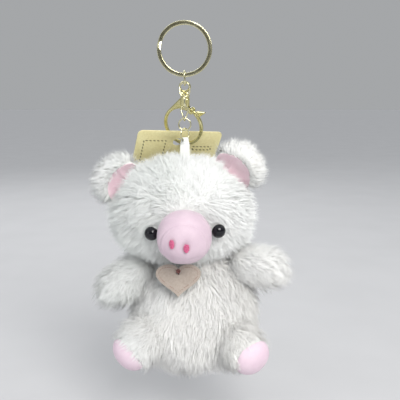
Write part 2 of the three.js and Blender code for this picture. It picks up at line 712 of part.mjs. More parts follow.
function headSkin() {
  let skin = headSolid(0).subtract(headSolid(-plushThick)).subtract(ribbonSlot);
  const neck = vector(torso.middle.x, headMiddle.y, headMiddle.z);
  skin = skin.subtract(bar(neck, neck.clone().setZ(torso.middle.z), headNeckHole, roundSteps));
  for (const { hole, pocket } of Object.values(eyeSets)) skin = skin.subtract(hole).subtract(pocket);
  return skin;
}

function headFilling() {
  let filling = headSolid(-plushThick - air).subtract(ribbonSlot);
  for (const { hole, pocket } of Object.values(eyeSets)) filling = filling.subtract(hole).subtract(pocket);
  return filling;
}

function torsoSkin() {
  return torsoSolid(0).subtract(torsoSolid(-plushThick)).subtract(neckCut(air)).subtract(knotPocket);
}

function torsoFilling() {
  return torsoSolid(-plushThick - air).subtract(neckCut(2 * air)).subtract(knotPocket);
}

const limbSolid = ({ shape }, grow) => stuffed(shape, grow, hollowOr(limbSteps, grow));
const seamCut = ({ pivot, axis, swing }, grow) => swung(torsoSolid(grow), pivot, axis, swing)
  .add(swung(headSolid(grow), pivot, axis, swing)).add(neckCut(grow));

const limbSkin = (it) => limbSolid(it, 0).subtract(limbSolid(it, -plushThick)).subtract(seamCut(it, air));
const limbFilling = (it) => limbSolid(it, -plushThick - air).subtract(seamCut(it, 2 * air));

function sole(leg) {
  const { middle, along } = leg.shape;
  const past = middle.clone().addScaledVector(along, leg.long);
  return limbSolid(leg, air + soleThick).subtract(limbSolid(leg, air))
    .intersect(bar(middle, past, soleWide, roundSteps));
}

function ear(placeShares, facesShares) {
  const facing = unit(facesShares);
  const middle = within(head, placeShares);
  const shape = form(middle, earWide, earTall, earDeep, earFullness, 0, facing);
  const hollowMiddle = middle.clone().addScaledVector(facing, earHollowForward);
  const hollow = form(
    hollowMiddle, earWide * earHollowShare, earTall * earHollowShare, earDeep * earHollowShare, 2, 0, facing);
  const lifted = { ...hollow, middle: hollowMiddle.clone().addScaledVector(facing, earLiningThick) };
  const cut = headSolid(air);
  const ballOf = (it, grow) => stuffed(it, grow, earSteps);
  return {
    back: ballOf(shape, 0).subtract(ballOf(hollow, 0)).subtract(cut),
    lining: ballOf(hollow, -air).subtract(ballOf(lifted, -air)).subtract(cut),
  };
}

const snoutSkin = () => snoutSolid(0).subtract(snoutSolid(-velourThick)).subtract(headSolid(air));
const snoutFilling = () => snoutSolid(-velourThick - air).subtract(headSolid(air));

function nostril(shares) {
  const { place } = onFront(snout, shares);
  const ahead = place.clone().addScaledVector(back, -overrun * 2);
  const post = bar(ahead, place.clone().addScaledVector(back, overrun * 3), nostrilWide)
    .translate(place.clone().negate().toArray())
    .scale([1, 1, nostrilTall / nostrilWide])
    .translate(place.toArray());
  return snoutSolid(air + nostrilThick).subtract(snoutSolid(air)).intersect(post);
}

function tail() {
  const root = vector(torso.middle.x, 0, torso.middle.z + tailUpShare * torsoTall / 2);
  const depth = (1 - Math.abs(tailUpShare) ** torso.fullness) ** (1 / torso.fullness);
  root.y = torso.middle.y + torso.reach.y * depth * (1 - torso.taper * Math.abs(tailUpShare));
  const rings = [];
  const radius = (tailLoop - tailWire) / 2;
  for (let i = 0; i <= tailSteps; i++) {
    const share = i / tailSteps;
    const angle = share * tailTurnsShare * 2 * Math.PI;
    const place = vector(radius * Math.sin(angle), share * 2 * tailWire, radius * (1 - Math.cos(angle)));
    const outward = vector(-Math.sin(angle), 0, Math.cos(angle)).negate();
    const wide = tailWire / 2 * (1 - tailTaperShare * share);
    rings.push(around(place.add(root), outward, back, circle(wide, smallSteps / 2)));
  }
  return solid(skinned(rings, false)).subtract(torsoSolid(air));
}

function heartPin() {
  const front = stuffed(knotForm(-heartKnot / 2 - heartThick), 0, knotSteps);
  const inner = stuffed(knotForm(heartThreadLong), 0, knotSteps);
  return bar(threadAt(-heartKnot / 2 - heartThick), threadAt(heartThreadLong), heartThread, smallSteps / 2)
    .add(front).add(inner);
}

// Assembly

function placed(group, place) {
  group.position.copy(place);
  return group;
}

const hanger = new THREE.Group();
hanger.add(named('split_ring', splitRing(), finishes.steel));

linkPlaces.forEach((place, i) => {
  const link = named(`chain_link_${i + 1}`, chainLink(linkMiddles[i], linkTwists[i]), finishes.steel);
  hanger.add(placed(link, place));
});
hanger.add(placed(named('jump_ring_upper', jumpRing(0), finishes.steel), upperJumpPlace));
hanger.add(placed(named('jump_ring_lower', jumpRing(lowerJumpTurn), finishes.steel), lowerJumpPlace));

const clasp = placed(new THREE.Group(), clawSeat);
clasp.rotation.x = claspLean;
clasp.add(named('clasp_eye', claspEye(), finishes.clasp));
const hook = new THREE.Group();
hook.rotation.z = hookTurn;
hook.add(
  named('clasp_body', claspBody(), finishes.clasp),
  named('clasp_gate', claspGate(), finishes.clasp),
  named('clasp_rivet', claspRivet(), finishes.clasp),
  named('clasp_spring', claspSpring(), finishes.steel),
);
clasp.add(hook);
hanger.add(clasp);

hanger.updateMatrixWorld(true);
const card = placed(new THREE.Group(), onLoop(cardHoldAngle).applyMatrix4(hook.matrixWorld));
card.rotation.set(cardLean, cardRoll, cardYaw, 'ZXY');
card.add(named('swing_card', swingCard(), finishes.card));
hanger.add(card);

const pig = placed(new THREE.Group(), ribbonSeat);
pig.add(
  named('ribbon_loop', ribbonLoop(), finishes.ribbon),
  named('head_skin', headSkin(), finishes.plush),
  named('head_filling', headFilling(), finishes.filling),
  named('snout_skin', snoutSkin(), finishes.velour),
  named('snout_filling', snoutFilling(), finishes.filling),
  named('nostril_left', nostril(leftNostrilShares), finishes.stitch),
  named('nostril_right', nostril(rightNostrilShares), finishes.stitch),
  named('torso_skin', torsoSkin(), finishes.plush),
  named('torso_filling', torsoFilling(), finishes.filling),
  named('tail', tail(), finishes.velour),
);
for (const [name, { bead, washer }] of Object.entries(eyeSets)) {
  pig.add(named(name, bead, finishes.bead), named(`${name}_washer`, washer, finishes.washer));
}
const ears = { left: ear(leftEarShares, leftEarFacesShares), right: ear(rightEarShares, rightEarFacesShares) };
for (const [side, { back: shell, lining }] of Object.entries(ears)) {
  pig.add(named(`ear_${side}_back`, shell, finishes.plush), named(`ear_${side}_lining`, lining, finishes.velour));
}
for (const [name, it] of Object.entries(limbs)) {
  pig.add(
    named(`${name}_skin`, limbSkin(it), finishes.plush),
    named(`${name}_filling`, limbFilling(it), finishes.filling));
}
pig.add(
  named('sole_left', sole(limbs.leg_left), finishes.velour),
  named('sole_right', sole(limbs.leg_right), finishes.velour),
  named('heart_pin', heartPin(), finishes.thread),
);
const heart = placed(new THREE.Group(), heartHolePlace);
heart.rotation.x = -heartLean;
heart.add(named('heart_tag', heartTag(), finishes.heart));
pig.add(heart);
hanger.add(pig);

export default hanger;
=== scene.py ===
# A stuffed pig that hangs on a split ring, dressed with fur, velour, metal, ribbon and card.
# Lengths are in millimetres and become metres where a mesh is made. +Z is up and the pig faces -Y.
# Left and right are as seen from the front.

import json
import math
from contextlib import contextmanager

import bpy
import numpy as np
from mathutils import Matrix, Vector
from mathutils.kdtree import KDTree


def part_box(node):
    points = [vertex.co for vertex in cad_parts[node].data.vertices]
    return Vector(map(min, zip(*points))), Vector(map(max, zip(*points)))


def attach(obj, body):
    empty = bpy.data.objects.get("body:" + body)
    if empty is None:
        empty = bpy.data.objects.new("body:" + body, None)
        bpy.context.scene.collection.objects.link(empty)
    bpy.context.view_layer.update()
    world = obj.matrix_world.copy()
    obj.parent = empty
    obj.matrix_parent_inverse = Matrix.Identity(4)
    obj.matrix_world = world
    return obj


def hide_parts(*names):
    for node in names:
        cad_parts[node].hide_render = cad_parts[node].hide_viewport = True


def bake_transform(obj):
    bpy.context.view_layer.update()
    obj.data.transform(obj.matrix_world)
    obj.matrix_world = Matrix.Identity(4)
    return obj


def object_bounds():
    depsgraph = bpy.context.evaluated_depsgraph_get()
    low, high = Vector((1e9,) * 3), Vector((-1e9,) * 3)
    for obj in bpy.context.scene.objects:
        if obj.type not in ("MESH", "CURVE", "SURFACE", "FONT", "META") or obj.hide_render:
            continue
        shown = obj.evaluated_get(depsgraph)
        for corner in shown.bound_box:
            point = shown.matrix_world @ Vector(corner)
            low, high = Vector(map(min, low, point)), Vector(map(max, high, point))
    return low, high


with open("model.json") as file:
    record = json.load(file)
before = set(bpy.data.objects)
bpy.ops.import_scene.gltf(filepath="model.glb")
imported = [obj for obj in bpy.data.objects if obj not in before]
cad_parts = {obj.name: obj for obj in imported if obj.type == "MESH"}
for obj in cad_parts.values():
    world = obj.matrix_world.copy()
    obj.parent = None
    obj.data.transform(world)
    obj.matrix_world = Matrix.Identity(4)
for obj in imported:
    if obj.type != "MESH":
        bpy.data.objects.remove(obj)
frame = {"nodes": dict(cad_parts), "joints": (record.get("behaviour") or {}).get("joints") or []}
cad_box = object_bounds()
joints = {joint["name"]: joint for joint in frame["joints"]}

MM = 0.001
UP = np.array([0.0, 0.0, 1.0])
FULL_TURN = 2 * math.pi

# The camera that took the photo, and the 400 pixel frame
CAMERA_AT = (8.4, -345.1, -35.0)
CAMERA_DOWN = 10
FOCAL_PIXELS = 620
FRAME_PIXELS = 400
SENSOR_WIDE, NEAR_CLIP = 36, 10

# Floor and light, where 1 shows a surface in its own colour
FLOOR_WIDE, FLOOR_BELOW = 12000, 30
FLOOR_TONE = 0.56
FAR_TONE = 0.385  # what the floor comes to far off
WORLD_LIGHT = 0.62
COOL = (0.975, 1.0, 1.025)
LAMP_WIDE = 600
LAMPS = {  # place, watts and colour
    "key_lamp": ((320, -720, 440), 7.8, (1.0, 0.985, 0.96)),
    "fill_lamp": ((-750, -500, 100), 1.0, (0.94, 0.97, 1.0)),
    "back_lamp": ((-200, 700, 500), 2.4, (1.0, 1.0, 1.0)),
}

# Metal, as in the frame, but for a barrel that is a little slimmer, to clear the chain as it turns
AIR = 0.3
RING_OUTER, RING_WIDE, RING_THICK, RING_TURN_GAP = 30, 2.3, 0.95, 0.42
RING_CROSSING, RING_CROSSING_HALF, RING_ENDS_HALF = 172, 11, 18
LINK_WIRE, LINK_LONG, LINK_INSIDE = 0.9, 8.6, 4.6
LINK_MIDDLES = (90, 0, 90, 60)
LINK_TWISTS = (16, 30, 30, 60)
JUMP_WIRE, JUMP_OUTER, LOWER_JUMP_TURN = 0.8, 7.4, 50
EYE_WIRE, EYE_OUTER, STEM_SHOWS, STEM_WIDE = 1.3, 6.8, 0.3, 1.7
BARREL_WIDE, BARREL_DEEP, BARREL_TALL = 5.45, 4.38, 8.4
HOOK_OUTER, HOOK_ASIDE, HOOK_WIRE, HOOK_LEAP = 24.4, -1.2, 1.9, 0.9
BRIDGE_WIDE, CHEEK_WIDE, LUG_WIDE = 2.6, 3.4, 2.8
NOSE_ANGLE, GATE_PIVOT_ANGLE, SHOULDER_ANGLE = -8, 62, 138
THUMB_FOOT, THUMB_TIP, THUMB_HEAD = 33, 35, 51
THUMB_TIP_PROUD, THUMB_TIP_TALL, THUMB_HEAD_PROUD = 4.8, 1, 0.8
RING_CORNER, LOOP_CORNER = 0.34, 0.62
CHEEK_INSIDE, CHEEK_OUTSIDE, SLOT_ROOM = 0.95, 1.7, 2.3
LUG_HALF, GATE_NECK_THICK, FIN_RIM, FIN_DISH = 0.65, 1.3, 0.42, 0.38

# Card, heart and ribbon
CARD_WIDE, CARD_TALL, CARD_THICK, CARD_CORNER, CARD_HOLE = 51, 32, 0.6, 3, 5.4
CARD_HOLE_DROP, CARD_HOLE_ASIDE, CARD_HANGS = 8, -0.9, 0.9
CARD_YAW, CARD_LEAN, CARD_ROLL = 18, 35, 3
HEART_WIDE, HEART_TALL, HEART_THICK, HEART_HOLE, HEART_HOLE_DROP = 24, 17.6, 1.2, 2.2, 1.9
HEART_LEAN, HEART_COSINES = 14, (13, -4, -1.5, -0.5)
THREAD_WIDE, THREAD_DOWN, THREAD_LONG = 0.9, 33, 14
RIBBON_WIDE, RIBBON_GATHERED, RIBBON_THICK, RIBBON_LONG, RIBBON_SEWN = 5.2, 4, 0.45, 9.6, 4.2
RIBBON_FLARE_SHARE, RIBBON_CLOSED_SHARE, RIBBON_GAP, RIBBON_CORNER = 0.3, 0.6, 0.5, 0.12
CARD_EDGE, HEART_EDGE = 0.12, 0.22
CARD_BOXES = (((-13.7, -7.2), (6.5, 8.0)), ((15.9, -4.4), (5.6, 1.2)))  # middle and half size of each
DOT_LONG, DOTTED_LINE_HALF = 1.15, 0.36
STITCH_IN, STITCH_HALF, STITCH_PITCH = 1.5, 0.16, 1.3
KNOT_RADIUS, KNOT_WIRE, KNOT_OUT, KNOT_TURNS = 0.72, 1.0, 1.4, (0.5, 1.9)

# Stuffed parts. Shares are of a form's half sizes.
PILE_DEPTH = 2.2  # from the pressed pile that the frame holds down to the backing cloth
ARM_PILE_DEPTH, LEG_PILE_DEPTH = 4.4, 2.8
HEAD_SIZE, HEAD_TAPER = (78, 57, 59), -0.05
TORSO_SIZE, TORSO_TAPER, TORSO_FULLNESS, TORSO_ASIDE, BELLY = (69, 50, 68), -0.08, 2.4, 7, 3.5
LIMB_SEWN_SHARE, LIMB_TAPER = 0.25, 0.06
ARM_WIDE, ARM_LONG, LEG_WIDE, LEG_LONG = 24.6, 40, 26.5, 34
LIMB_WAYS = {
    "arm_left": (-0.81, -0.25, -0.53),
    "arm_right": (0.97, -0.22, -0.05),
    "leg_left": (-0.72, -0.47, -0.53),
    "leg_right": (0.6, -0.76, -0.4),
}
SOLE_WIDE, SOLE_SUNK, SOLE_THICK, SOLE_CROWN, SOLE_RIM_IN = 22, 0.5, 2.6, 1.1, 0.6
SNOUT_SIZE, SNOUT_LIFT, SNOUT_PROUD, SNOUT_ASIDE_SHARE = (28.3, 28, 27.5), 7.5, 5, 0.05
NOSTRIL_SHARES = {"left": (-0.42, -0.06), "right": (0.1, -0.2)}
NOSTRIL_WIDE, NOSTRIL_TALL, NOSTRIL_ROWS = 2.7, 4.5, 9
EYE_BEAD, EYE_PROUD, EYE_POST, EYE_POST_LONG = 7.6, 3.2, 2.2, 6.9
EYE_BARE, HEART_BARE, HEART_BARE_UP, HEART_BARE_DOWN, EAR_BARE = 3.2, 12, 6, 15, 6.5  # where no fur reaches
EYE_PLACES = {"left": (-1, -0.8, -0.26), "right": (1, -0.3, -0.225)}  # side, gap to the snout, share up
EAR_SIZE = (27, 27, 15)
EAR_PLACES = {  # shares on the head, and the way that the front faces
    "left": ((-0.905, 0.035, 0.56), (0.42, -0.86, -0.28)),
    "right": ((0.79, 0.035, 0.8), (-0.36, -0.86, -0.36)),
}
EAR_BOWL_IN_SHARE, EAR_BOWL_LONG_SHARE = 0.45, 1.03
TAIL_WIRE, TAIL_LOOP, TAIL_LONG, TAIL_UP_SHARE = 3.0, 9.0, 6, -0.3


def row(*numbers):
    return np.array(numbers, float)


def unit(way):
    way = np.asarray(way, float)
    return way / np.linalg.norm(way, axis=-1, keepdims=True)


def joint_place(name):
    return row(*joints[name]["pos_m"]) / MM


def joint_axis(name):
    return unit(joints[name]["axis"])


def node_box(name):
    low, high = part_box(name)
    return row(*low) / MM, row(*high) / MM


def eased(share):
    """From 0 to 1 with a soft start and end."""
    share = np.clip(share, 0, 1)
    return share * share * (3 - 2 * share)


def bell(gap, wide):
    """1 where the gap is 0, and nearly 0 past twice this width."""
    return np.exp(-(gap / wide) ** 2)


def length(ways):
    return np.linalg.norm(ways, axis=-1)


def run_along(path):
    return np.concatenate([[0], np.cumsum(length(np.diff(path, axis=0)))])


def about_z(places, angle):
    """Places turned about Z, each by its own angle."""
    x, y, z = places.T
    return np.stack([x * np.cos(angle) - y * np.sin(angle), x * np.sin(angle) + y * np.cos(angle), z], 1)


def turn_to(way):
    """The turn that takes Z to this way, as an array."""
    return np.array(Vector((0, 0, 1)).rotation_difference(Vector(way)).to_matrix())


def waves(places, size, seed, count=6):
    """Smooth noise of about -1 to 1, with bumps of about this size."""
    rng = np.random.default_rng(seed)
    total = np.zeros(len(places))
    for _ in range(count):
        way = unit(rng.normal(size=3)) * FULL_TURN / size * rng.uniform(0.6, 1.5)
        total += np.sin(places @ way + rng.uniform(0, FULL_TURN))
    return total / math.sqrt(count)


# Shaders


def operator(operation):
    """A method that feeds its own socket and any others to a maths node."""
    return lambda self, *others: self.tree.maths(operation, self, *others)


class Value:
    """A shader socket that can be used in sums."""

    def __init__(self, tree, socket):
        self.tree, self.socket = tree, socket

    __add__ = __radd__ = operator("ADD")
    __sub__ = operator("SUBTRACT")
    __mul__ = operator("MULTIPLY")
    __truediv__ = operator("DIVIDE")
    __lt__ = operator("LESS_THAN")
    __gt__ = operator("GREATER_THAN")
    __abs__ = operator("ABSOLUTE")
    fraction = operator("FRACT")
    larger = operator("MAXIMUM")


class Tree:
    """The nodes of a finish or of the world."""

    def __init__(self, owner):
        owner.use_nodes = True
        self.nodes, self.links = owner.node_tree.nodes, owner.node_tree.links

    def node(self, kind, sockets=None, output=0, **settings):
        made = self.nodes.new(kind)
        for name, setting in settings.items():
            setattr(made, name, setting)
        for name, value in (sockets or {}).items():
            self.join(value, made.inputs[name])
        return Value(self, made.outputs[output]) if len(made.outputs) else made

    def join(self, value, socket):
        if isinstance(value, Value):
            self.links.new(value.socket, socket)
        elif isinstance(value, tuple) and len(value) == 3 and socket.type == "RGBA":
            socket.default_value = (*value, 1)
        else:
            socket.default_value = value

    def maths(self, operation, *values, **settings):
        return self.node("ShaderNodeMath", dict(enumerate(values)), operation=operation, **settings)

    def axes(self, place):
        return [self.node("ShaderNodeSeparateXYZ", {0: place}, output=i) for i in range(3)]

    def ramp(self, value, *stops):
        made = self.nodes.new("ShaderNodeValToRGB")
        while len(made.color_ramp.elements) < len(stops):
            made.color_ramp.elements.new(1)
        for element, (at, colour) in zip(made.color_ramp.elements, stops):
            element.position = at
            element.color = (*colour, 1)
        self.join(value, made.inputs[0])
        return Value(self, made.outputs[0])

    def mix(self, share, a, b, blend="MIX"):
        return self.node(
            "ShaderNodeMix", {0: share, 6: a, 7: b}, output=2, data_type="RGBA", blend_type=blend)


class Shader(Tree):
    """One finish: a Principled surface and the nodes that feed it."""

    def __init__(self, name, **constants):
        self.material = bpy.data.materials.new(name)
        super().__init__(self.material)
        self.surface = self.nodes["Principled BSDF"]
        self.feed(**constants)

    def feed(self, **values):
        for name, value in values.items():
            self.join(value, self.surface.inputs[name.replace("_", " ")])

    def place(self):
        return self.node("ShaderNodeTexCoord", output=3)

    def uv(self, name):
        return self.node("ShaderNodeUVMap", uv_map=name)

    def noise(self, place, size, detail=3, roughness=0.5):
        """Noise from 0 to 1 with bumps of about this size in millimetres."""
        return self.node("ShaderNodeTexNoise", {
            "Vector": place, "Scale": 1 / (size * MM), "Detail": detail, "Roughness": roughness})

    def bump(self, height, depth):
        """Bump of this depth in millimetres."""
        self.feed(Normal=self.node("ShaderNodeBump", {
            "Height": height, "Distance": depth * MM, "Strength": 1.0}))


def fur_finish():
    shader = Shader("fur", Roughness=0.75, Specular_IOR_Level=0.25, Sheen_Weight=0.2, Sheen_Roughness=0.5)
    tone, along, _ = shader.axes(shader.uv("OFBake"))
    # The cool grey low end and cream high end of this ramp paint shade and light where the tone is moved to
    # the left or right and per part; the tone's patches and spread are the pile's own.
    shade = shader.ramp(
        tone, (0.0, (0.85, 0.875, 0.852)), (0.5, (0.965, 0.975, 0.965)), (1.0, (1.0, 0.995, 0.97)))
    # Painted shade at the roots: each strand is drawn darker towards its root, where the pile around it
    # shades it.
    depth = shader.ramp(along, (0.0, (0.93, 0.93, 0.92)), (0.3, (0.98, 0.98, 0.975)), (0.7, (1.0, 1.0, 1.0)))
    shader.feed(Base_Color=shader.mix(1.0, shade, depth, "MULTIPLY"))
    return shader.material


def grained_finish(name, size, depth, dark, light, grain=None, **constants):
    """Two tones in patches of this size, with bumps of their own or of the grain's size."""
    shader = Shader(name, **constants)
    place = shader.place()
    tone = shader.noise(place, size)
    shader.feed(Base_Color=shader.ramp(tone, (0.3, dark), (0.7, light)))
    shader.bump(shader.noise(place, grain, detail=2) if grain else tone, depth)
    return shader.material


def velour_finish(name, dark, middle, pale):
    shader = Shader(name, Roughness=0.6, Specular_IOR_Level=0.35, Sheen_Weight=0.22, Sheen_Roughness=0.3)
    place = shader.place()
    nap = shader.noise(place, 9, detail=4, roughness=0.6)
    grain = shader.noise(place, 0.45, detail=2)
    base = shader.ramp(nap, (0.3, dark), (0.55, middle), (0.75, pale))
    shader.feed(Base_Color=shader.mix(grain * 0.2, base, (0.94, 0.80, 0.87)))
    shader.bump(grain + nap * 0.4, 0.09)
    return shader.material


def bead_finish():
    shader = Shader("black_bead", Specular_IOR_Level=0.25, Coat_Weight=0.3, Coat_Roughness=0.03)
    haze = shader.noise(shader.place(), 1.5, detail=4)
    shader.feed(
        Base_Color=shader.ramp(haze, (0.3, (0.004, 0.004, 0.006)), (0.8, (0.012, 0.012, 0.016))),
        Roughness=0.06 + haze * 0.08)
    return shader.material


def metal_finish(name, dull, bright, roughness):
    shader = Shader(name, Metallic=1.0)
    place = shader.place()
    cloud = shader.noise(place, 4, detail=4)
    scratch = shader.noise(place, 0.35, detail=2)
    shader.feed(
        Base_Color=shader.ramp(cloud, (0.3, dull), (0.7, bright)),
        Roughness=roughness + cloud * 0.10 + scratch * 0.05)
    shader.bump(scratch, 0.01)
    return shader.material


def ribbon_finish():
    """Fine ribs across the ribbon, and a raised selvedge along each side."""
    shader = Shader("satin_ribbon", Roughness=0.38, Sheen_Weight=0.4)
    across, along, _ = shader.axes(shader.uv("weave"))
    rib = abs((along / 0.35).fraction() - 0.5)
    edge = abs(across) > 2.25
    satin = shader.mix(rib * 0.5, (0.86, 0.87, 0.84), (0.74, 0.76, 0.74))
    shader.feed(Base_Color=shader.mix(edge * 0.5, satin, (0.78, 0.80, 0.78)))
    shader.bump(rib + edge * 0.6, 0.06)
    return shader.material


def dotted_box(across, high, middle, half):
    """1 on a line of dots round a box, on a map in millimetres."""
    x = abs(across - middle[0]) - half[0]
    y = abs(high - middle[1]) - half[1]
    line = abs(x.larger(y)) < DOTTED_LINE_HALF
    return line * (((across + high) / (2 * DOT_LONG)).fraction() < 0.5)


def card_marks(across, high):
    first, second = (dotted_box(across, high, *box) for box in CARD_BOXES)
    return first.larger(second) * 0.95


def heart_marks(rim, run):
    return (abs(rim - STITCH_IN) < STITCH_HALF) * ((run / STITCH_PITCH).fraction() < 0.5) * 0.7


def paper_finish(name, roughness, dark, light, marks, ink):
    """Paper with fibres, marked in ink by a function of its map named print."""
    shader = Shader(name, Roughness=roughness)
    place = shader.place()
    fibre = shader.noise(place, 1.1, detail=5, roughness=0.7)
    cloud = shader.noise(place, 14, detail=2)
    shader.bump(fibre, 0.05)
    paper = shader.ramp(fibre * 0.7 + cloud * 0.3, (0.35, dark), (0.65, light))
    shader.feed(Base_Color=shader.mix(marks(*shader.axes(shader.uv("print"))[:2]), paper, ink))
    return shader.material


FUR = fur_finish()
BACKING = grained_finish(
    "plush_backing", 6, 0.5, (0.84, 0.86, 0.84), (0.91, 0.91, 0.89), grain=0.7, Roughness=0.95)
# The same pink velour in copies: this darker one on the snout and tail is painted shade; the soles' copy is
# brighter.
SHADED_VELOUR = velour_finish("velour", (0.59, 0.45, 0.53), (0.63, 0.49, 0.565), (0.69, 0.545, 0.62))
SOLE_VELOUR = velour_finish("sole_velour", (0.74, 0.56, 0.66), (0.79, 0.62, 0.71), (0.82, 0.66, 0.75))
# The ears' velour is pinker, as the lining is, and paler than the soles', as painted light against the shade
# in the ear's bowl.
PAINTED_LIGHT_EAR_VELOUR = velour_finish("ear_velour", (0.88, 0.62, 0.70), (0.93, 0.70, 0.77), (0.96, 0.78, 0.83))
STITCH = grained_finish(
    "embroidery_thread", 0.6, 0.05, (0.48, 0.06, 0.16), (0.72, 0.14, 0.30), Roughness=0.42, Sheen_Weight=0.3)
THREAD = grained_finish("brown_thread", 0.4, 0.08, (0.10, 0.035, 0.03), (0.22, 0.09, 0.08), Roughness=0.8)
BEAD = bead_finish()
PALE_GOLD = metal_finish("pale_gold_wire", (0.64, 0.60, 0.36), (0.82, 0.79, 0.55), 0.12)
GOLD = metal_finish("gold_casting", (0.56, 0.51, 0.22), (0.78, 0.73, 0.40), 0.11)
RIBBON = ribbon_finish()
CARD = paper_finish(
    "kraft_card", 0.86, (0.70, 0.62, 0.31), (0.84, 0.78, 0.45), card_marks, (0.06, 0.045, 0.02))
HEART = paper_finish(
    "heart_card", 0.8, (0.35, 0.295, 0.25), (0.45, 0.385, 0.33), heart_marks, (0.20, 0.08, 0.06))
WASHER = grained_finish("washer_plastic", 1.2, 0.02, (0.72, 0.72, 0.70), (0.82, 0.82, 0.80), Roughness=0.5)
SPRING = grained_finish(
    "spring_steel", 1.2, 0.02, (0.40, 0.40, 0.39), (0.55, 0.55, 0.53), Roughness=0.35, Metallic=1.0)


# Modelling helpers


def alone(piece=None):
    bpy.ops.object.select_all(action="DESELECT")
    if piece is not None:
        piece.select_set(True)
        bpy.context.view_layer.objects.active = piece


def columns(items, name, wide, kind=float):
    """What each item says under this name, as an array this many numbers wide."""
    values = np.empty(len(items) * wide, kind)
    items.foreach_get(name, values)
    return values.reshape(-1, wide)


def points(piece):
    return columns(piece.data.vertices, "co", 3) / MM


def put_points(piece, places):
    piece.data.vertices.foreach_set("co", (np.asarray(places) * MM).ravel())
    piece.data.update()


def applied(piece, kind, **settings):
    alone(piece)
    modifier = piece.modifiers.new(kind.lower(), kind)
    for name, setting in settings.items():
        setattr(modifier, name, setting)
    bpy.ops.object.modifier_apply(modifier=modifier.name)
    return piece


@contextmanager
def edit_mode(piece, select=None):
    alone(piece)
    bpy.ops.object.mode_set(mode="EDIT")
    if select:
        bpy.ops.mesh.select_all(action=select)
    yield
    bpy.ops.object.mode_set(mode="OBJECT")


def choose(piece, kind, chosen):
    """Selects only these vertices or polygons."""
    with edit_mode(piece, "DESELECT"):
        pass
    getattr(piece.data, kind).foreach_set("select", chosen)


def cut_by(piece, cutter):
    applied(piece, "BOOLEAN", object=cutter, operation="DIFFERENCE", solver="EXACT")
    bpy.data.objects.remove(cutter)
    return piece


def outward(piece):
    with edit_mode(piece, "SELECT"):
        bpy.ops.mesh.remove_doubles(threshold=1e-7)
        bpy.ops.mesh.normals_make_consistent(inside=False)
    return piece


def smooth(piece, angle=40):
    alone(piece)
    bpy.ops.object.shade_smooth_by_angle(angle=math.radians(angle))
    return piece


def settled(piece):
    """Puts the piece's place, turn and size into its mesh."""
    alone(piece)
    bpy.ops.object.transform_apply(location=True, rotation=True, scale=True)
    return piece


def moved(piece, matrix):
    """Puts a piece drawn in its own millimetres where a matrix in millimetres says."""
    places = points(piece)
    turn, shift = np.array(matrix.to_3x3()), np.array(matrix.translation)
    put_points(piece, places @ turn.T + shift)
    return piece


def joined(name, *parts):
    alone(parts[0])
    for part in parts:
        part.select_set(True)
    bpy.ops.object.join()
    parts[0].name = parts[0].data.name = name
    return parts[0]


def linked(piece):
    bpy.context.scene.collection.objects.link(piece)
    return piece


def meshed(name, places, faces, angle=40):
    mesh = bpy.data.meshes.new(name)
    mesh.from_pydata((np.asarray(places, float) * MM).tolist(), [], faces)
    return smooth(outward(linked(bpy.data.objects.new(name, mesh))), angle)


def torus(name, radius, wire, at=(0, 0, 0), turn=(math.pi / 2, 0, 0), steps=64, sides=16):
    alone()
    bpy.ops.mesh.primitive_torus_add(
        major_segments=steps, minor_segments=sides, major_radius=radius * MM, minor_radius=wire / 2 * MM,
        location=Vector(at) * MM, rotation=turn)
    piece = settled(bpy.context.object)
    piece.name = name
    return piece


def ball(name, detail):
    """A ball of this name, and the unit way to each of its points."""
    alone()
    bpy.ops.mesh.primitive_ico_sphere_add(subdivisions=detail, radius=MM)
    piece = bpy.context.object
    piece.name = piece.data.name = name
    return piece, unit(points(piece))


def mapped(piece, name, pairs):
    """A map made from a pair of numbers for each vertex."""
    layer = piece.data.uv_layers.new(name=name)
    corners = columns(piece.data.loops, "vertex_index", 1, int)[:, 0]
    layer.data.foreach_set("uv", pairs[corners].ravel())


def rounded(wide, thick, corner, steps=4):
    """A rectangle with round corners, as pairs across and out."""
    outline = []
    for quarter, (x, y) in enumerate(((1, 1), (-1, 1), (-1, -1), (1, -1))):
        for step in range(steps + 1):
            angle = (quarter + step / steps) * math.pi / 2
            outline.append((
                x * (wide / 2 - corner) + corner * math.cos(angle),
                y * (thick / 2 - corner) + corner * math.sin(angle)))
    return np.array(outline)


def swept(name, path, out, aside, section, scale=None, loops=False, angle=40):
    """A section carried along a path. out and aside are unit ways square to the path at each place."""
    count, sides = len(path), len(section)
    scale = np.ones((count, 2)) if scale is None else scale
    places = (path[:, None, :]
              + out[:, None, :] * (section[None, :, 0] * scale[:, None, 0])[..., None]
              + aside[:, None, :] * (section[None, :, 1] * scale[:, None, 1])[..., None])
    faces = []
    for i in range(count if loops else count - 1):
        here, after = i * sides, (i + 1) % count * sides
        for j in range(sides):
            k = (j + 1) % sides
            faces.append((here + j, here + k, after + k, after + j))
    if not loops:
        faces += [tuple(range(sides)), tuple(range(sides * (count - 1), sides * count))]
    return meshed(name, places.reshape(-1, 3), faces, angle)


def along_path(path, hint):
    """Unit ways along, out and aside for a smooth path, out being near the hint."""
    along = unit(np.gradient(path, axis=0))
    aside = unit(np.cross(along, hint))
    return along, np.cross(aside, along), aside


def dressed(piece, material, body, *nodes, slot=None):
    piece.data.materials.clear()
    piece.data.materials.append(material)
    if nodes:
        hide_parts(*nodes)
    if body:
        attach(piece, body)
    return piece


# Camera, floor and lights


def make_camera():
    data = bpy.data.cameras.new("camera")
    data.sensor_width = SENSOR_WIDE
    data.lens = FOCAL_PIXELS / FRAME_PIXELS * SENSOR_WIDE
    data.clip_start = NEAR_CLIP * MM
    view = linked(bpy.data.objects.new("camera", data))
    view.location = Vector(CAMERA_AT) * MM
    view.rotation_euler = (math.radians(90 - CAMERA_DOWN), 0, 0)
    bpy.context.scene.camera = view


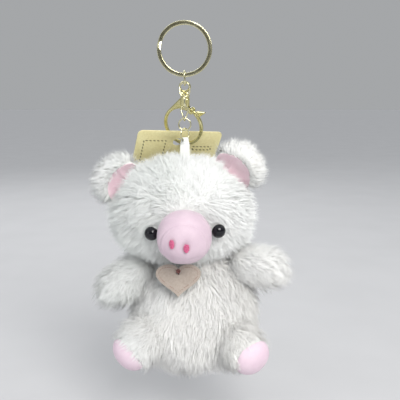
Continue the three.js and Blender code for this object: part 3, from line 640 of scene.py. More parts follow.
def make_floor():
    alone()
    bpy.ops.mesh.primitive_plane_add(size=FLOOR_WIDE * MM, location=(0, 0, cad_box[0].z - FLOOR_BELOW * MM))
    floor = bpy.context.object
    floor.name = "floor"
    shader = Shader("floor_paper", Roughness=0.9)
    tone = shader.noise(shader.place(), 60, detail=2)
    low, high = ((level * row(1, 1, 1.02)).tolist() for level in (FLOOR_TONE - 0.01, FLOOR_TONE + 0.01))
    shader.feed(Base_Color=shader.ramp(tone, (0.3, low), (0.7, high)))
    floor.data.materials.append(shader.material)


def make_world():
    """Soft light from above. The eye sees a plain room, and the metal its dimmer side in front too."""
    world = bpy.context.scene.world = bpy.data.worlds.new("studio")
    studio = Tree(world)
    studio.nodes.clear()
    _, along, high = studio.axes(studio.node("ShaderNodeTexCoord"))
    camera, glossy, clear = (
        studio.node("ShaderNodeLightPath", output=f"Is {kind} Ray")
        for kind in ("Camera", "Glossy", "Transmission"))

    def grey(*stops):
        return studio.ramp(high, *((at, tuple(tone * share for share in COOL)) for at, tone in stops))

    light = studio.node("ShaderNodeBackground", {
        "Color": grey((0.0, 0.8), (1.0, 1.2)), "Strength": WORLD_LIGHT})
    dim = studio.maths("MULTIPLY", along, -2.5, use_clamp=True) * glossy
    plain = grey((0.0, FAR_TONE), (0.22, FAR_TONE), (0.75, 0.95))
    front = grey((0.0, 0.05), (0.35, 0.12), (0.8, 0.7))
    shown = studio.node("ShaderNodeBackground", {"Color": studio.mix(dim, plain, front)})
    seen = camera.larger(glossy).larger(clear)
    mixed = studio.node("ShaderNodeMixShader", {0: seen, 1: light, 2: shown})
    studio.node("ShaderNodeOutputWorld", {0: mixed})


def make_lamp(name, place, watts, colour):
    data = bpy.data.lights.new(name, "AREA")
    data.shape, data.size, data.energy, data.color = "DISK", LAMP_WIDE * MM, watts, colour
    lamp = linked(bpy.data.objects.new(name, data))
    lamp.location = Vector(place) * MM
    target = (cad_box[0] + cad_box[1]) / 2
    lamp.rotation_euler = (target - lamp.location).to_track_quat("-Z", "Y").to_euler()


make_camera()
make_floor()
make_world()
for name, settings in LAMPS.items():
    make_lamp(name, *settings)
bpy.context.scene.view_settings.view_transform = "Standard"


# Metal


def round_section(wide, sides=16):
    angle = np.arange(sides) / sides * FULL_TURN
    return np.stack([np.cos(angle), np.sin(angle)], 1) * wide / 2


def spokes(angle):
    """Unit ways in the XZ plane."""
    return np.stack([np.cos(angle), 0 * angle, np.sin(angle)], -1)


def split_ring():
    steps = 220
    ends = math.radians(RING_ENDS_HALF)
    wound = np.linspace(ends, 2 * FULL_TURN - ends, steps)
    half = math.radians(RING_CROSSING_HALF)
    across = eased((wound - FULL_TURN + half) / (2 * half))
    out = spokes(math.radians(RING_CROSSING) + wound)
    path = out * (RING_OUTER - RING_WIDE) / 2
    path[:, 1] = (RING_THICK + RING_TURN_GAP) * (0.5 - across)
    path[:, 2] += RING_WIDE - RING_OUTER / 2
    aside = np.tile(row(0, 1, 0), (steps, 1))
    ring = swept("split_ring_wire", path, out, aside, rounded(RING_WIDE, RING_THICK, RING_CORNER), angle=50)
    dressed(ring, PALE_GOLD, "ring", "split_ring", slot="pale_gold_wire")


def chain_link(number, middle, twist):
    bend = (LINK_INSIDE + LINK_WIRE) / 2
    half = (LINK_LONG - LINK_WIRE) / 2
    low, high = node_box(f"chain_link_{number}")
    link = torus(f"chain_link_wire_{number}", bend, LINK_WIRE)
    places = points(link)
    places[:, 2] += (half - bend) * np.clip(places[:, 2] * 4, -1, 1)
    places = about_z(places, math.radians(middle) - math.radians(twist) / 2 * places[:, 2] / half)
    put_points(link, places + (low + high) / 2)
    dressed(smooth(link, 60), PALE_GOLD, f"link_{number}", f"chain_link_{number}", slot="pale_gold_wire")


def jump_ring(which, turn):
    low, high = node_box(f"jump_ring_{which}")
    ring = torus(
        f"jump_ring_wire_{which}", (JUMP_OUTER - JUMP_WIRE) / 2, JUMP_WIRE, (low + high) / 2,
        (math.pi / 2, 0, math.radians(turn)))
    dressed(smooth(ring, 60), PALE_GOLD, f"jump_{which}", f"jump_ring_{which}", slot="pale_gold_wire")


def clasp_frame(turned):
    """From the clasp's own millimetres, seat at its origin and loop below, to the whole toy's."""
    seat = joint_place("clasp_swivel")
    up = joint_axis("clasp_swivel")
    back = joint_axis("gate_open") if turned else unit(np.cross(up, row(1, 0, 0)))
    right = np.cross(back, up)
    matrix = Matrix.Identity(4)
    for column, way in enumerate((right, back, up)):
        for line in range(3):
            matrix[line][column] = way[line]
    matrix.translation = Vector(seat)
    return matrix


EYE_RADIUS = (EYE_OUTER - EYE_WIRE) / 2
EYE_MIDDLE = (LINK_WIRE + EYE_WIRE) / 2 + AIR - EYE_RADIUS
BARREL_TOP = EYE_MIDDLE - EYE_OUTER / 2 - STEM_SHOWS
HOOK_RADIUS = (HOOK_OUTER - HOOK_WIRE) / 2
HOOK_MIDDLE = BARREL_TOP - BARREL_TALL - HOOK_OUTER / 2 + HOOK_LEAP


def on_loop(angle, radius=HOOK_RADIUS):
    angle = np.asarray(angle, float)
    return row(HOOK_ASIDE, 0, HOOK_MIDDLE) + spokes(angle) * np.asarray(radius)[..., None]


def evenly(wide):
    return lambda angle: (HOOK_RADIUS - wide / 2 + 0 * angle, HOOK_RADIUS + wide / 2 + 0 * angle)


def shouldered(angle):
    """The loop's plain side, whose outside runs on straight to the barrel."""
    turn = np.clip(math.radians(SHOULDER_ANGLE) - angle, 0, None)
    return HOOK_RADIUS - HOOK_WIRE / 2 + 0 * angle, HOOK_OUTER / 2 / np.cos(turn)


def loop_arc(name, start, stop, radii, thick, steps):
    """A stretch of the clasp's loop, in degrees, between an inner and an outer radius at each angle."""
    angle = np.radians(np.linspace(start, stop, steps))
    inner, outer = radii(angle)
    aside = np.tile(row(0, 1, 0), (steps, 1))
    scale = np.stack([(outer - inner) / HOOK_WIRE, np.full(steps, thick / HOOK_WIRE)], 1)
    section = rounded(HOOK_WIRE, HOOK_WIRE, LOOP_CORNER)
    return swept(name, on_loop(angle, (inner + outer) / 2), spokes(angle), aside, section, scale)


GATE_PIVOT = on_loop(math.radians(GATE_PIVOT_ANGLE))


def across_pivot(name, near, far, wide):
    """A round rod on the gate's pivot, between two places along Y."""
    return rod(name, GATE_PIVOT + row(0, near, 0), GATE_PIVOT + row(0, far, 0), wide)


def rod(name, start, stop, wide, steps=32):
    """A round rod between two places, in the piece's own millimetres."""
    start, stop = Vector(start), Vector(stop)
    way = stop - start
    alone()
    bpy.ops.mesh.primitive_cylinder_add(
        vertices=steps, radius=wide / 2 * MM, depth=way.length * MM, location=(start + stop) / 2 * MM,
        rotation=way.to_track_quat("Z", "Y").to_euler())
    piece = settled(bpy.context.object)
    piece.name = name
    return piece


def turned_piece(name, profile, steps=48):
    """A piece turned on the Z axis from pairs of radius and height."""
    angle = np.arange(steps) / steps * FULL_TURN
    places, faces = [], []
    for radius, height in profile:
        places += [(radius * math.cos(a), radius * math.sin(a), height) for a in angle]
    for i in range(len(profile) - 1):
        for j in range(steps):
            k = (j + 1) % steps
            faces.append((i * steps + j, i * steps + k, (i + 1) * steps + k, (i + 1) * steps + j))
    faces += [tuple(range(steps)), tuple(range((len(profile) - 1) * steps, len(profile) * steps))]
    return meshed(name, places, faces)


def cast(piece, voxel=0.17, rounds=3):
    """Fuses overlapping solids into one casting with soft corners."""
    applied(piece, "REMESH", mode="VOXEL", voxel_size=voxel * MM, use_smooth_shade=True)
    applied(piece, "SMOOTH", factor=0.5, iterations=rounds)
    return smooth(piece, 180)


def clasp_eye():
    eye = torus("eye", EYE_RADIUS, EYE_WIRE, (0, 0, EYE_MIDDLE), sides=20)
    foot = EYE_MIDDLE - EYE_RADIUS
    stem = turned_piece("stem", [
        (1.25, foot), (1.2, foot - 0.4), (STEM_WIDE / 2, foot - 0.9), (STEM_WIDE / 2, BARREL_TOP - 0.8)])
    piece = moved(cast(joined("clasp_eye_casting", eye, stem), 0.13), clasp_frame(False))
    dressed(piece, GOLD, "swivel_eye", "clasp_eye", slot="gold_casting")


def clasp_body():
    top, foot = BARREL_TOP, HOOK_MIDDLE + HOOK_RADIUS
    wide = BARREL_DEEP / 2
    barrel = turned_piece("barrel", [
        (wide * 0.70, top), (wide * 0.9, top - 0.25), (wide, top - 0.8), (wide, top - 1.9),
        (wide * 0.84, top - 2.2), (wide * 0.84, top - 2.7), (wide, top - 3.0), (wide * 0.98, foot + 1.2),
        (wide * 0.8, foot)])
    put_points(barrel, points(barrel) * row(BARREL_WIDE / BARREL_DEEP, 1, 1))
    loop = loop_arc("loop", 90, 360 + NOSE_ANGLE, shouldered, HOOK_WIRE, 150)
    bridge = loop_arc("bridge", GATE_PIVOT_ANGLE, 92, evenly(BRIDGE_WIDE), 2 * CHEEK_OUTSIDE, 12)
    cheeks = [
        across_pivot("cheek", side * CHEEK_INSIDE, side * CHEEK_OUTSIDE, CHEEK_WIDE) for side in (-1, 1)]
    piece = cast(joined("clasp_body_casting", barrel, loop, bridge, *cheeks))
    cut_by(piece, across_pivot("slot", -CHEEK_INSIDE, CHEEK_INSIDE, CHEEK_WIDE + SLOT_ROOM))
    moved(smooth(piece, 40), clasp_frame(True))
    dressed(piece, GOLD, "swivel_hook", "clasp_body", slot="gold_casting")


def thumb_fin():
    """The flat three-cornered fin that the thumb pushes, with a dished face."""
    outer = HOOK_OUTER / 2
    tip = outer + THUMB_TIP_PROUD
    tip_end = THUMB_TIP + math.degrees(THUMB_TIP_TALL / tip)
    corners = [(THUMB_FOOT, HOOK_RADIUS), (THUMB_TIP, tip), (tip_end, tip),
               (THUMB_HEAD, outer + THUMB_HEAD_PROUD), (THUMB_HEAD, HOOK_RADIUS)]
    outline = np.array([on_loop(math.radians(angle), radius) for angle, radius in corners])
    half = row(0, HOOK_WIRE / 2, 0)
    count = len(outline)
    sides = [(i, (i + 1) % count, count + (i + 1) % count, count + i) for i in range(count)]
    fin = meshed("fin", np.concatenate([outline - half, outline + half]), [
        tuple(range(count)), tuple(range(2 * count - 1, count - 1, -1)), *sides], 30)
    choose(fin, "polygons", [abs(face.normal.y) > 0.9 for face in fin.data.polygons])
    with edit_mode(fin):
        bpy.ops.mesh.select_mode(type="FACE")
        bpy.ops.mesh.inset(thickness=FIN_RIM * MM, depth=-FIN_DISH * MM, use_individual=True)
    return fin


def clasp_gate():
    arm = loop_arc("arm", NOSE_ANGLE + 1.6, GATE_PIVOT_ANGLE - 12, evenly(HOOK_WIRE), HOOK_WIRE, 48)
    neck = loop_arc("neck", GATE_PIVOT_ANGLE - 14, GATE_PIVOT_ANGLE, evenly(HOOK_WIRE), GATE_NECK_THICK, 12)
    lug = across_pivot("lug", -LUG_HALF, LUG_HALF, LUG_WIDE)
    piece = cast(joined("clasp_gate_casting", arm, neck, lug, thumb_fin()), 0.12, 2)
    moved(piece, clasp_frame(True))
    dressed(piece, GOLD, "gate", "clasp_gate", slot="gold_casting")


def clasp_rivet():
    reach = CHEEK_OUTSIDE + AIR
    half = [
        (0.5, 0), (0.5, reach - 0.1), (0.85, reach), (0.83, reach + 0.18), (0.6, reach + 0.32),
        (0.12, reach + 0.35)]
    profile = [(radius, -height) for radius, height in reversed(half)] + half[1:]
    rivet = turned_piece("clasp_rivet_pin", profile, 32)
    moved(rivet, clasp_frame(True) @ Matrix.Translation(Vector(GATE_PIVOT)) @ STANDING)
    dressed(rivet, GOLD, "swivel_hook", "clasp_rivet", slot="gold_casting")


def turn_about(axis, degrees):
    return Matrix.Rotation(math.radians(degrees), 4, axis)


def at_joint(name):
    return Matrix.Translation(Vector(joint_place(name)))


STANDING = turn_about("X", 90)  # from flat to facing the front


split_ring()
for number, (middle, twist) in enumerate(zip(LINK_MIDDLES, LINK_TWISTS), 1):
    chain_link(number, middle, twist)
jump_ring("upper", 0)
jump_ring("lower", LOWER_JUMP_TURN)
clasp_eye()
clasp_body()
clasp_gate()
clasp_rivet()


# Card, heart, thread and ribbon


def plate(piece, thick, hole, edge, segments, angle):
    """A flat face made thick, with a round hole at its origin and soft edges."""
    applied(piece, "SOLIDIFY", thickness=thick * MM, offset=0)
    cut_by(piece, rod("hole", (0, 0, -3), (0, 0, 3), hole, 48))
    return applied(
        piece, "BEVEL", width=edge * MM, segments=segments, limit_method="ANGLE",
        angle_limit=math.radians(angle))


def swing_card():
    alone()
    bpy.ops.mesh.primitive_plane_add(
        size=MM, location=Vector((-CARD_HOLE_ASIDE, CARD_HOLE_DROP - CARD_TALL / 2, 0)) * MM)
    card = bpy.context.object
    card.name = "kraft_card"
    card.scale = (CARD_WIDE, CARD_TALL, 1)
    with edit_mode(settled(card), "SELECT"):
        bpy.ops.mesh.bevel(offset=CARD_CORNER * MM, segments=8, affect="VERTICES")
    plate(card, CARD_THICK, CARD_HOLE, CARD_EDGE, 2, 50)
    mapped(card, "print", points(card)[:, :2])
    turn = turn_about("Z", CARD_YAW) @ turn_about("X", CARD_LEAN) @ turn_about("Y", CARD_ROLL)
    hung = Matrix.Translation((0, 0, -CARD_HANGS))
    moved(card, at_joint("card_swing") @ turn @ hung @ STANDING)
    dressed(smooth(card, 30), CARD, "card", "swing_card", slot="kraft_card")


def heart_outline(steps):
    turn = np.arange(steps) / steps * FULL_TURN
    heights = sum(share * np.cos((i + 1) * turn) for i, share in enumerate(HEART_COSINES))
    rise = HEART_TALL / (heights.max() - heights.min())
    across = HEART_WIDE / 2 * np.sin(turn) ** 3
    return np.stack([across, (heights - sum(HEART_COSINES)) * rise + HEART_HOLE_DROP], 1)


def heart_tag():
    outline = heart_outline(96)
    flat = np.column_stack([outline, np.zeros(len(outline))])
    heart = meshed("heart_card", flat, [tuple(range(len(flat)))])
    plate(heart, HEART_THICK, HEART_HOLE, HEART_EDGE, 3, 60)
    with edit_mode(heart, "SELECT"):
        bpy.ops.mesh.quads_convert_to_tris()
        for _ in range(3):
            bpy.ops.mesh.subdivide(number_cuts=1)
    gaps = length(points(heart)[:, None, :2] - outline[None])
    mapped(heart, "print", np.stack([gaps.min(1), run_along(outline)[gaps.argmin(1)]], 1))
    moved(heart, at_joint("heart_swing") @ turn_about("X", -HEART_LEAN) @ STANDING)
    dressed(smooth(heart, 30), HEART, "heart", "heart_tag", slot="heart_card")


def heart_thread():
    down = math.radians(THREAD_DOWN)
    way = row(0, math.cos(down), -math.sin(down))
    hole = joint_place("heart_swing")
    front = -KNOT_OUT - HEART_THICK
    reach = np.linspace(front, THREAD_LONG, 30)
    path = hole + reach[:, None] * way
    path[:, 0] += 0.12 * np.sin(reach * 1.3)
    _, out, aside = along_path(path, UP)
    strand = swept("thread", path, out, aside, round_section(THREAD_WIDE, 10))
    knots = [
        torus("knot", KNOT_RADIUS, KNOT_WIRE, hole + at * way, (1.1, turn, 0.4), 28, 10)
        for at in (front, THREAD_LONG) for turn in KNOT_TURNS]
    thread = joined("heart_thread", strand, *knots)
    dressed(smooth(thread, 60), THREAD, "torso", "heart_pin", slot="brown_thread")


def ribbon_loop():
    """Over the jump ring and down on both sides, gathered on the ring and spread flat at the crown."""
    bend = (JUMP_WIRE + RIBBON_THICK) / 2 + AIR
    sag = RIBBON_GATHERED ** 2 / (8 * (JUMP_OUTER - JUMP_WIRE) / 2)
    turn = np.linspace(math.pi / 2, 0, 14)
    over = np.stack([bend * np.cos(turn), sag + bend * np.sin(turn)], 1)
    share = np.linspace(0, 1, 40)[1:]
    gap = bend + ((RIBBON_GAP + RIBBON_THICK) / 2 - bend) * eased(share / RIBBON_CLOSED_SHARE)
    half = np.concatenate([over, np.stack([gap, -(RIBBON_LONG + RIBBON_SEWN) * share], 1)])
    side = np.concatenate([half, (half * row(-1, 1))[1:][::-1]])
    path = np.column_stack([np.zeros(len(side)), side])
    tangent = unit(np.roll(path, -1, 0) - np.roll(path, 1, 0))
    across = np.tile(row(1, 0, 0), (len(path), 1))
    spread = eased(-path[:, 2] / (RIBBON_FLARE_SHARE * RIBBON_LONG))
    wide = RIBBON_GATHERED + (RIBBON_WIDE - RIBBON_GATHERED) * spread
    corners = rounded(RIBBON_THICK, 1.0, RIBBON_CORNER, 2)
    section = np.concatenate([
        corners[corners[:, 1] > 0], [(-RIBBON_THICK / 2, 0)],
        corners[corners[:, 1] < 0], [(RIBBON_THICK / 2, 0)]])
    scale = np.stack([np.ones(len(path)), wide], 1)
    out = np.cross(across, tangent)
    ribbon = swept("satin_ribbon", path, out, across, section, scale, loops=True, angle=60)
    places = points(ribbon)
    nearest = np.abs(places[:, None, 1:] - path[None, :, 1:]).sum(2).argmin(1)
    weave = [places[:, 0] / wide[nearest] * RIBBON_WIDE, run_along(path)[nearest]]
    mapped(ribbon, "weave", np.stack(weave, 1))
    twist = math.radians(LOWER_JUMP_TURN) * (1 - spread[nearest])
    put_points(ribbon, about_z(places, twist) + joint_place("ribbon_swing"))
    dressed(ribbon, RIBBON, "head", "ribbon_loop", slot="white_ribbon")


swing_card()
heart_tag()
heart_thread()
ribbon_loop()


# Stuffed parts


class Form:
    """A stuffed form: a ball, squared a little, tapered along its own Z, turned and placed."""

    def __init__(self, middle, size, fullness=2.2, taper=0.0, along=(0, 0, 1)):
        self.middle = np.asarray(middle, float)
        self.half = np.asarray(size, float) / 2
        self.fullness, self.taper = fullness, taper
        self.turn = turn_to(along)

    def grown(self, by):
        form = Form(self.middle, 2 * (self.half + by), self.fullness, self.taper)
        form.turn = self.turn
        return form

    def own(self, places):
        """Places as the form sees them, from its middle and along its own axes."""
        return (places - self.middle) @ self.turn

    def placed(self, own):
        return own @ self.turn.T + self.middle

    def shaped(self, ball):
        norm = (np.abs(ball) ** self.fullness).sum(1, keepdims=True)
        places = ball * norm ** (-1 / self.fullness)
        swell = 1 + self.taper * places[:, 2:]
        places = places * self.half
        places[:, :2] *= swell
        return self.placed(places)

    def share(self, places):
        """Under 1 inside the form, 1 on its surface."""
        own = self.own(places) / self.half
        own[:, :2] /= (1 + self.taper * own[:, 2:])
        return (np.abs(own) ** self.fullness).sum(1) ** (1 / self.fullness)

    def front(self, across, high):
        """The place on the front at these shares of the half sizes, for a form that isn't turned."""
        swell = 1 + self.taper * high
        left = 1 - abs(across / swell) ** self.fullness - abs(high) ** self.fullness
        depth = left ** (1 / self.fullness) * swell
        return self.middle + self.half * row(across, -depth, high)


def limb_form(name, along):
    wide, long = (ARM_WIDE, ARM_LONG) if name.startswith("arm") else (LEG_WIDE, LEG_LONG)
    way = unit(along)
    middle = joint_place(f"{name}_swing") + way * LIMB_SEWN_SHARE * long
    return Form(middle, (wide, wide, long), taper=LIMB_TAPER, along=way)


def eye_place(way, gap, high):
    beside = (SNOUT_SIZE[0] / 2 + EYE_BEAD / 2 + gap) / HEAD.half[0]
    return HEAD.front(SNOUT_ASIDE_SHARE + way * beside, high)


head_low, head_high = node_box("head_skin")
HEAD_MIDDLE = (head_low + head_high) / 2
HEAD_MIDDLE[2] = head_high[2] - HEAD_SIZE[2] / 2
HEAD = Form(HEAD_MIDDLE, HEAD_SIZE, taper=HEAD_TAPER)
TORSO_UP = node_box("torso_skin")[0][2] + TORSO_SIZE[2] / 2
TORSO_MIDDLE = row(HEAD_MIDDLE[0] + TORSO_ASIDE, HEAD_MIDDLE[1], TORSO_UP)
TORSO = Form(TORSO_MIDDLE, TORSO_SIZE, TORSO_FULLNESS, TORSO_TAPER)
SNOUT_UP_SHARE = (SNOUT_LIFT + SNOUT_SIZE[2] / 2) / HEAD.half[2] - 1
SNOUT = Form(HEAD.front(SNOUT_ASIDE_SHARE, SNOUT_UP_SHARE) - row(0, SNOUT_PROUD, 0), SNOUT_SIZE)
LIMBS = {name: limb_form(name, along) for name, along in LIMB_WAYS.items()}
EARS = {
    side: Form(HEAD.middle + HEAD.half * row(*shares), EAR_SIZE, along=unit(way))
    for side, (shares, way) in EAR_PLACES.items()}
EYES = {side: eye_place(*place) for side, place in EYE_PLACES.items()}
NOSTRILS = {side: SNOUT.front(*shares) for side, shares in NOSTRIL_SHARES.items()}
TAIL_ROOT = TORSO.front(0, TAIL_UP_SHARE)
TAIL_ROOT[1] = 2 * TORSO.middle[1] - TAIL_ROOT[1]


def backing(name, form, detail=6, lumps=0.7, seed=0, belly=0.0, deep=PILE_DEPTH):
    """The cloth of a stuffed part, with the soft lumps of its filling and its belly, this much forward."""
    piece, sphere = ball(name, detail)
    places = form.grown(-deep).shaped(sphere)
    swell = lumps * waves(places, LUMP_LONG, seed) + 0.4 * lumps * waves(places, SMALL_LUMP_LONG, seed + 50)
    places = places + unit(places - form.middle) * swell[:, None]
    own = (places - form.middle) / form.half
    places[:, 1] -= belly * bell(own[:, 2] + 0.35, 0.55) * np.clip(-own[:, 1], 0, 1)
    put_points(piece, places)
    return smooth(piece, 180)


def surface_of(piece):
    mesh = piece.data
    mesh.calc_loop_triangles()
    corners = columns(mesh.loop_triangles, "vertices", 3, int)
    return points(piece), columns(mesh.vertices, "normal", 3), corners


def scattered(piece, per_square, rng):
    """Places spread evenly over a piece, with the way that it faces there."""
    places, normals, corners = surface_of(piece)
    a, b, c = (places[corners[:, i]] for i in range(3))
    areas = length(np.cross(b - a, c - a)) / 2
    count = int(areas.sum() * per_square)
    pick = rng.choice(len(areas), count, p=areas / areas.sum())
    u, v = rng.random((2, count, 1))
    flip = u + v > 1
    u, v = np.where(flip, 1 - u, u), np.where(flip, 1 - v, v)
    shares = (1 - u - v, u, v)
    spots = sum(share * places[corners[pick, i]] for i, share in enumerate(shares))
    facing = unit(sum(share * normals[corners[pick, i]] for i, share in enumerate(shares)))
    return spots, facing


def flattened(ways, facing):
    """What of each way lies along the surface, as a unit way."""
    return unit(ways - (ways * facing).sum(1, keepdims=True) * facing + 1e-6)


class Pile:
    """How the fur of one part grows. Lengths in millimetres."""

    # tone sets where a part's fur sits on the fur finish's ramp; parts set it lower or higher as painted
    # shade or painted light.
    long, lift, droop, tone = 7.5, 0.6, 0.35, 0.5
    per_square, lock, pull, wide = 4.0, 3.2, 0.3, 0.36

    def __init__(self, comb, **settings):
        self.comb = comb
        vars(self).update(settings)


STRAND_LEVELS = row(0, 0.5, 1)
MOST_STRANDS = 22000  # in one piece
GUARD_SHARE, GUARD_PULL, GUARD_WIDE = 0.28, 1.35, 0.55  # of the longer, thinner and more upright strands
PAINTED_SHADE_ACROSS, TONE_PATCH = 0.0065, 38  # painted shade and light: the tone falls to the left and rises to the right, per millimetre; and it varies in patches of this size
LUMP_LONG, SMALL_LUMP_LONG = 17, 7


def bent(spots, facing, combed, long, lift, droop):
    """Three places along each strand, from its root to its tip."""
    start = unit(facing * lift[:, None] + combed * (1 - lift[:, None]))
    stop = unit(combed * 0.8 + facing * 0.3 - UP * droop)
    level = STRAND_LEVELS[None, :, None]
    run = long[:, None, None] * (level * (1 - level / 2) * start[:, None] + level ** 2 / 2 * stop[:, None])
    return spots[:, None] + run


def strands(spots, facing, pile, shorter, guard, seed):
    """The places along every strand, drawn a little together into locks."""
    rng = np.random.default_rng(seed)
    area = len(spots) / pile.per_square
    heads = rng.choice(len(spots), max(1, int(area / pile.lock ** 2)), replace=False)
    tree = KDTree(len(heads))
    for i, head in enumerate(heads):
        tree.insert(spots[head], i)
    tree.balance()
    member = np.array([tree.find(spot)[1] for spot in spots])

    def combed(at, ways, spread):
        jitter = rng.normal(size=(len(at), 3)) * spread
        swirl = np.stack([waves(at, 30, seed + 7 * i) for i in range(3)], 1) * 0.3
        return flattened(pile.comb(at) + swirl + jitter, ways)

    head_comb = combed(spots[heads], facing[heads], 0.22)
    head_long = pile.long * rng.uniform(0.92, 1.12, len(heads)) * shorter[heads]
    head_lift = np.clip(pile.lift - 0.1 + rng.normal(size=len(heads)) * 0.07, 0.2, 0.95)
    head_runs = bent(spots[heads], facing[heads], head_comb, head_long, head_lift, pile.droop)
    own_comb = flattened(combed(spots, facing, 0.3) + 0.6 * head_comb[member], facing)
    guard_long, plain_long = rng.uniform(1.05, 1.6, len(spots)), rng.uniform(0.62, 0.98, len(spots))
    long = pile.long * np.where(guard, guard_long, plain_long) * shorter
    lift = np.clip(pile.lift - 0.15 + 0.35 * guard + rng.normal(size=len(spots)) * 0.1, 0.15, 0.98)
    runs = bent(spots, facing, own_comb, long, lift, pile.droop)
    offset = (spots - spots[heads][member])[:, None]
    level = STRAND_LEVELS[None, :, None]
    drawn = head_runs[member] + offset * (1 - 0.6 * level)
    pull = pile.pull * level ** 1.3 * rng.uniform(0.3, 1.0, (len(spots), 1, 1))
    pull *= np.where(guard, GUARD_PULL, 1.0)[:, None, None]
    runs = runs * (1 - pull) + drawn * pull
    height = ((runs - spots[:, None]) * facing[:, None]).sum(2, keepdims=True)
    least = 0.9 * level * np.minimum(1, long / 6)[:, None, None]
    return runs + facing[:, None] * np.maximum(0, least - height), member


def fur_mesh(name, runs, facing, tone, wide):
    """Closed three-sided strands that end in a point, with a map of tone and height that the fur finish
    reads.
    """
    count = len(runs)
    ways = unit(runs[:, 1:] - runs[:, :-1])
    side = unit(np.cross(ways[:, 0], facing))
    over = np.cross(side, ways[:, 0])
    places = np.empty((count, 7, 3))
    for i in range(3):
        angle = FULL_TURN * (i / 3 - 0.25)
        reach = (side * math.cos(angle) + over * math.sin(angle)) * wide[:, None] / 2
        places[:, i] = runs[:, 0] + reach
        places[:, 3 + i] = runs[:, 1] + reach * 0.85
    places[:, 6] = runs[:, 2]
    sides = []
    for i in range(3):
        j = (i + 1) % 3
        sides += [i, 3 + i, 3 + j, j, 3 + i, 6, 3 + j]
    corners = (np.arange(count)[:, None] * 7 + np.array(sides)).ravel()
    starts = (np.arange(count)[:, None] * 21 + np.array([0, 4, 7, 11, 14, 18])).ravel()
    mesh = bpy.data.meshes.new(name)
    mesh.vertices.add(count * 7)
    mesh.vertices.foreach_set("co", (places * MM).ravel())
    mesh.loops.add(len(corners))
    mesh.loops.foreach_set("vertex_index", corners.astype(np.int32))
    mesh.polygons.add(len(starts))
    mesh.polygons.foreach_set("loop_start", starts.astype(np.int32))
    mesh.update(calc_edges=True)
    half = 0.004
    u = np.clip(tone, half, 1 - half)[:, None] + half * np.tile([-1, -1, 1, 1, -1, 0, 1], 3)
    v = np.tile(STRAND_LEVELS[[0, 1, 1, 0, 1, 2, 1] * 3], (count, 1))
    layer = mesh.uv_layers.new(name="OFBake")
    layer.data.foreach_set("uv", np.stack([u, v], 2).ravel())
    mesh.polygons.foreach_set("use_smooth", np.ones(len(starts), bool))
    soft = np.repeat(facing[:, None] * 1.6 + UP * 0.5, 7, 1)
    soft[:, :3] += unit(places[:, :3] - runs[:, :1])
    soft[:, 3:6] += unit(places[:, 3:6] - runs[:, 1:2])
    soft[:, 6] += ways[:, 1] * 0.5
    mesh.normals_split_custom_set_from_vertices(unit(soft).reshape(-1, 3).tolist())
    return linked(bpy.data.objects.new(name, mesh))


def clear_of(spots, *forms, by=0.0):
    """True where a root lies outside the forms, grown by this much."""
    clear = np.ones(len(spots), bool)
    for form in forms:
        clear &= form.grown(by).share(spots) > 1
    return clear


def whole(at):
    return np.ones(len(at))


def fur_on(piece, name, pile, keep, seed, shorter=whole, body=None):
    """Grows the fur of one part, in pieces below the limit on triangles, and gives them back."""
    rng = np.random.default_rng(seed)
    spots, facing = scattered(piece, pile.per_square, rng)
    kept = keep(spots)
    spots, facing = spots[kept], facing[kept]
    guard = rng.random(len(spots)) < GUARD_SHARE
    runs, member = strands(spots, facing, pile, shorter(spots), guard, seed + 1)
    lock_tone = rng.normal(size=member.max() + 1) * 0.05
    # A part's own tone is painted shade on the head and painted light on the torso and legs; the patches,
    # locks and spread that follow are the pile's own.
    tone = pile.tone + 0.12 * waves(spots, TONE_PATCH, seed + 3) + lock_tone[member]
    tone += rng.normal(size=len(spots)) * 0.05 + 0.05 * guard
    # Painted shade and light: the tone falls towards the left and rises towards the right.
    tone += PAINTED_SHADE_ACROSS * (spots[:, 0] - HEAD.middle[0])
    wide = pile.wide * np.where(guard, GUARD_WIDE, 1.0) * rng.uniform(0.8, 1.15, len(spots))
    chosen = clear_tips(runs)
    runs, facing, spots, tone, wide = (each[chosen] for each in (runs, facing, spots, tone, wide))
    parts = math.ceil(len(spots) / MOST_STRANDS)
    order = np.argsort(spots[:, 1], kind="stable")
    made = []
    for i, few in enumerate(np.array_split(order, parts)):
        label = f"{name}_{i + 1}" if parts > 1 else name
        made.append(fur_mesh(label, runs[few], facing[few], tone[few], wide[few]))
    return [dressed(fur, FUR, body, slot="white_plush") for fur in made]


HEART_AT = joint_place("heart_swing")


def clear_tips(runs):
    """Leaves out strands that would pierce the heart, snout, beads, tail or linings of the ears."""
    clear = np.ones(len(runs), bool)
    for level in (1, 2):
        tips = runs[:, level]
        x, y, z = (tips - HEART_AT).T
        beside_heart = (np.abs(x) < HEART_BARE) & (z < HEART_BARE_UP) & (z > -HEART_BARE_DOWN)
        clear &= ~(beside_heart & (y < 0.9 + 0.25 * z))
        clear &= SNOUT.share(tips) > 1.02
        x, y, z = (tips - TAIL_ROOT - row(0, 0, (TAIL_LOOP - TAIL_WIRE) / 2)).T
        clear &= ~((y > -4) & (np.hypot(x, z) < 0.62 * TAIL_LOOP))
        for eye in EYES.values():
            clear &= length(tips - eye) > EYE_BEAD / 2 * 0.94
        for form in EARS.values():
            x, y, z = form.own(tips).T
            clear &= ~((z > -1) & (z < 7) & (np.hypot(x, y) < EAR_BARE))
    return clear


def head_comb(at):
    return unit(at - SNOUT.middle) * 0.9 - UP * 0.55 + row(0.0, 0.25, 0.0)


def torso_comb(at):
    return unit(at - TORSO.middle) * 0.35 - UP * 1.0


def limb_comb(way):
    return lambda at: np.tile(way * 0.9 - UP * 0.3, (len(at), 1))


def nearest(at, places):
    """How far the nearest of two places is."""
    return np.minimum(*(length(at - place) for place in places))


def near_eyes(at):
    return nearest(at, EYES.values())


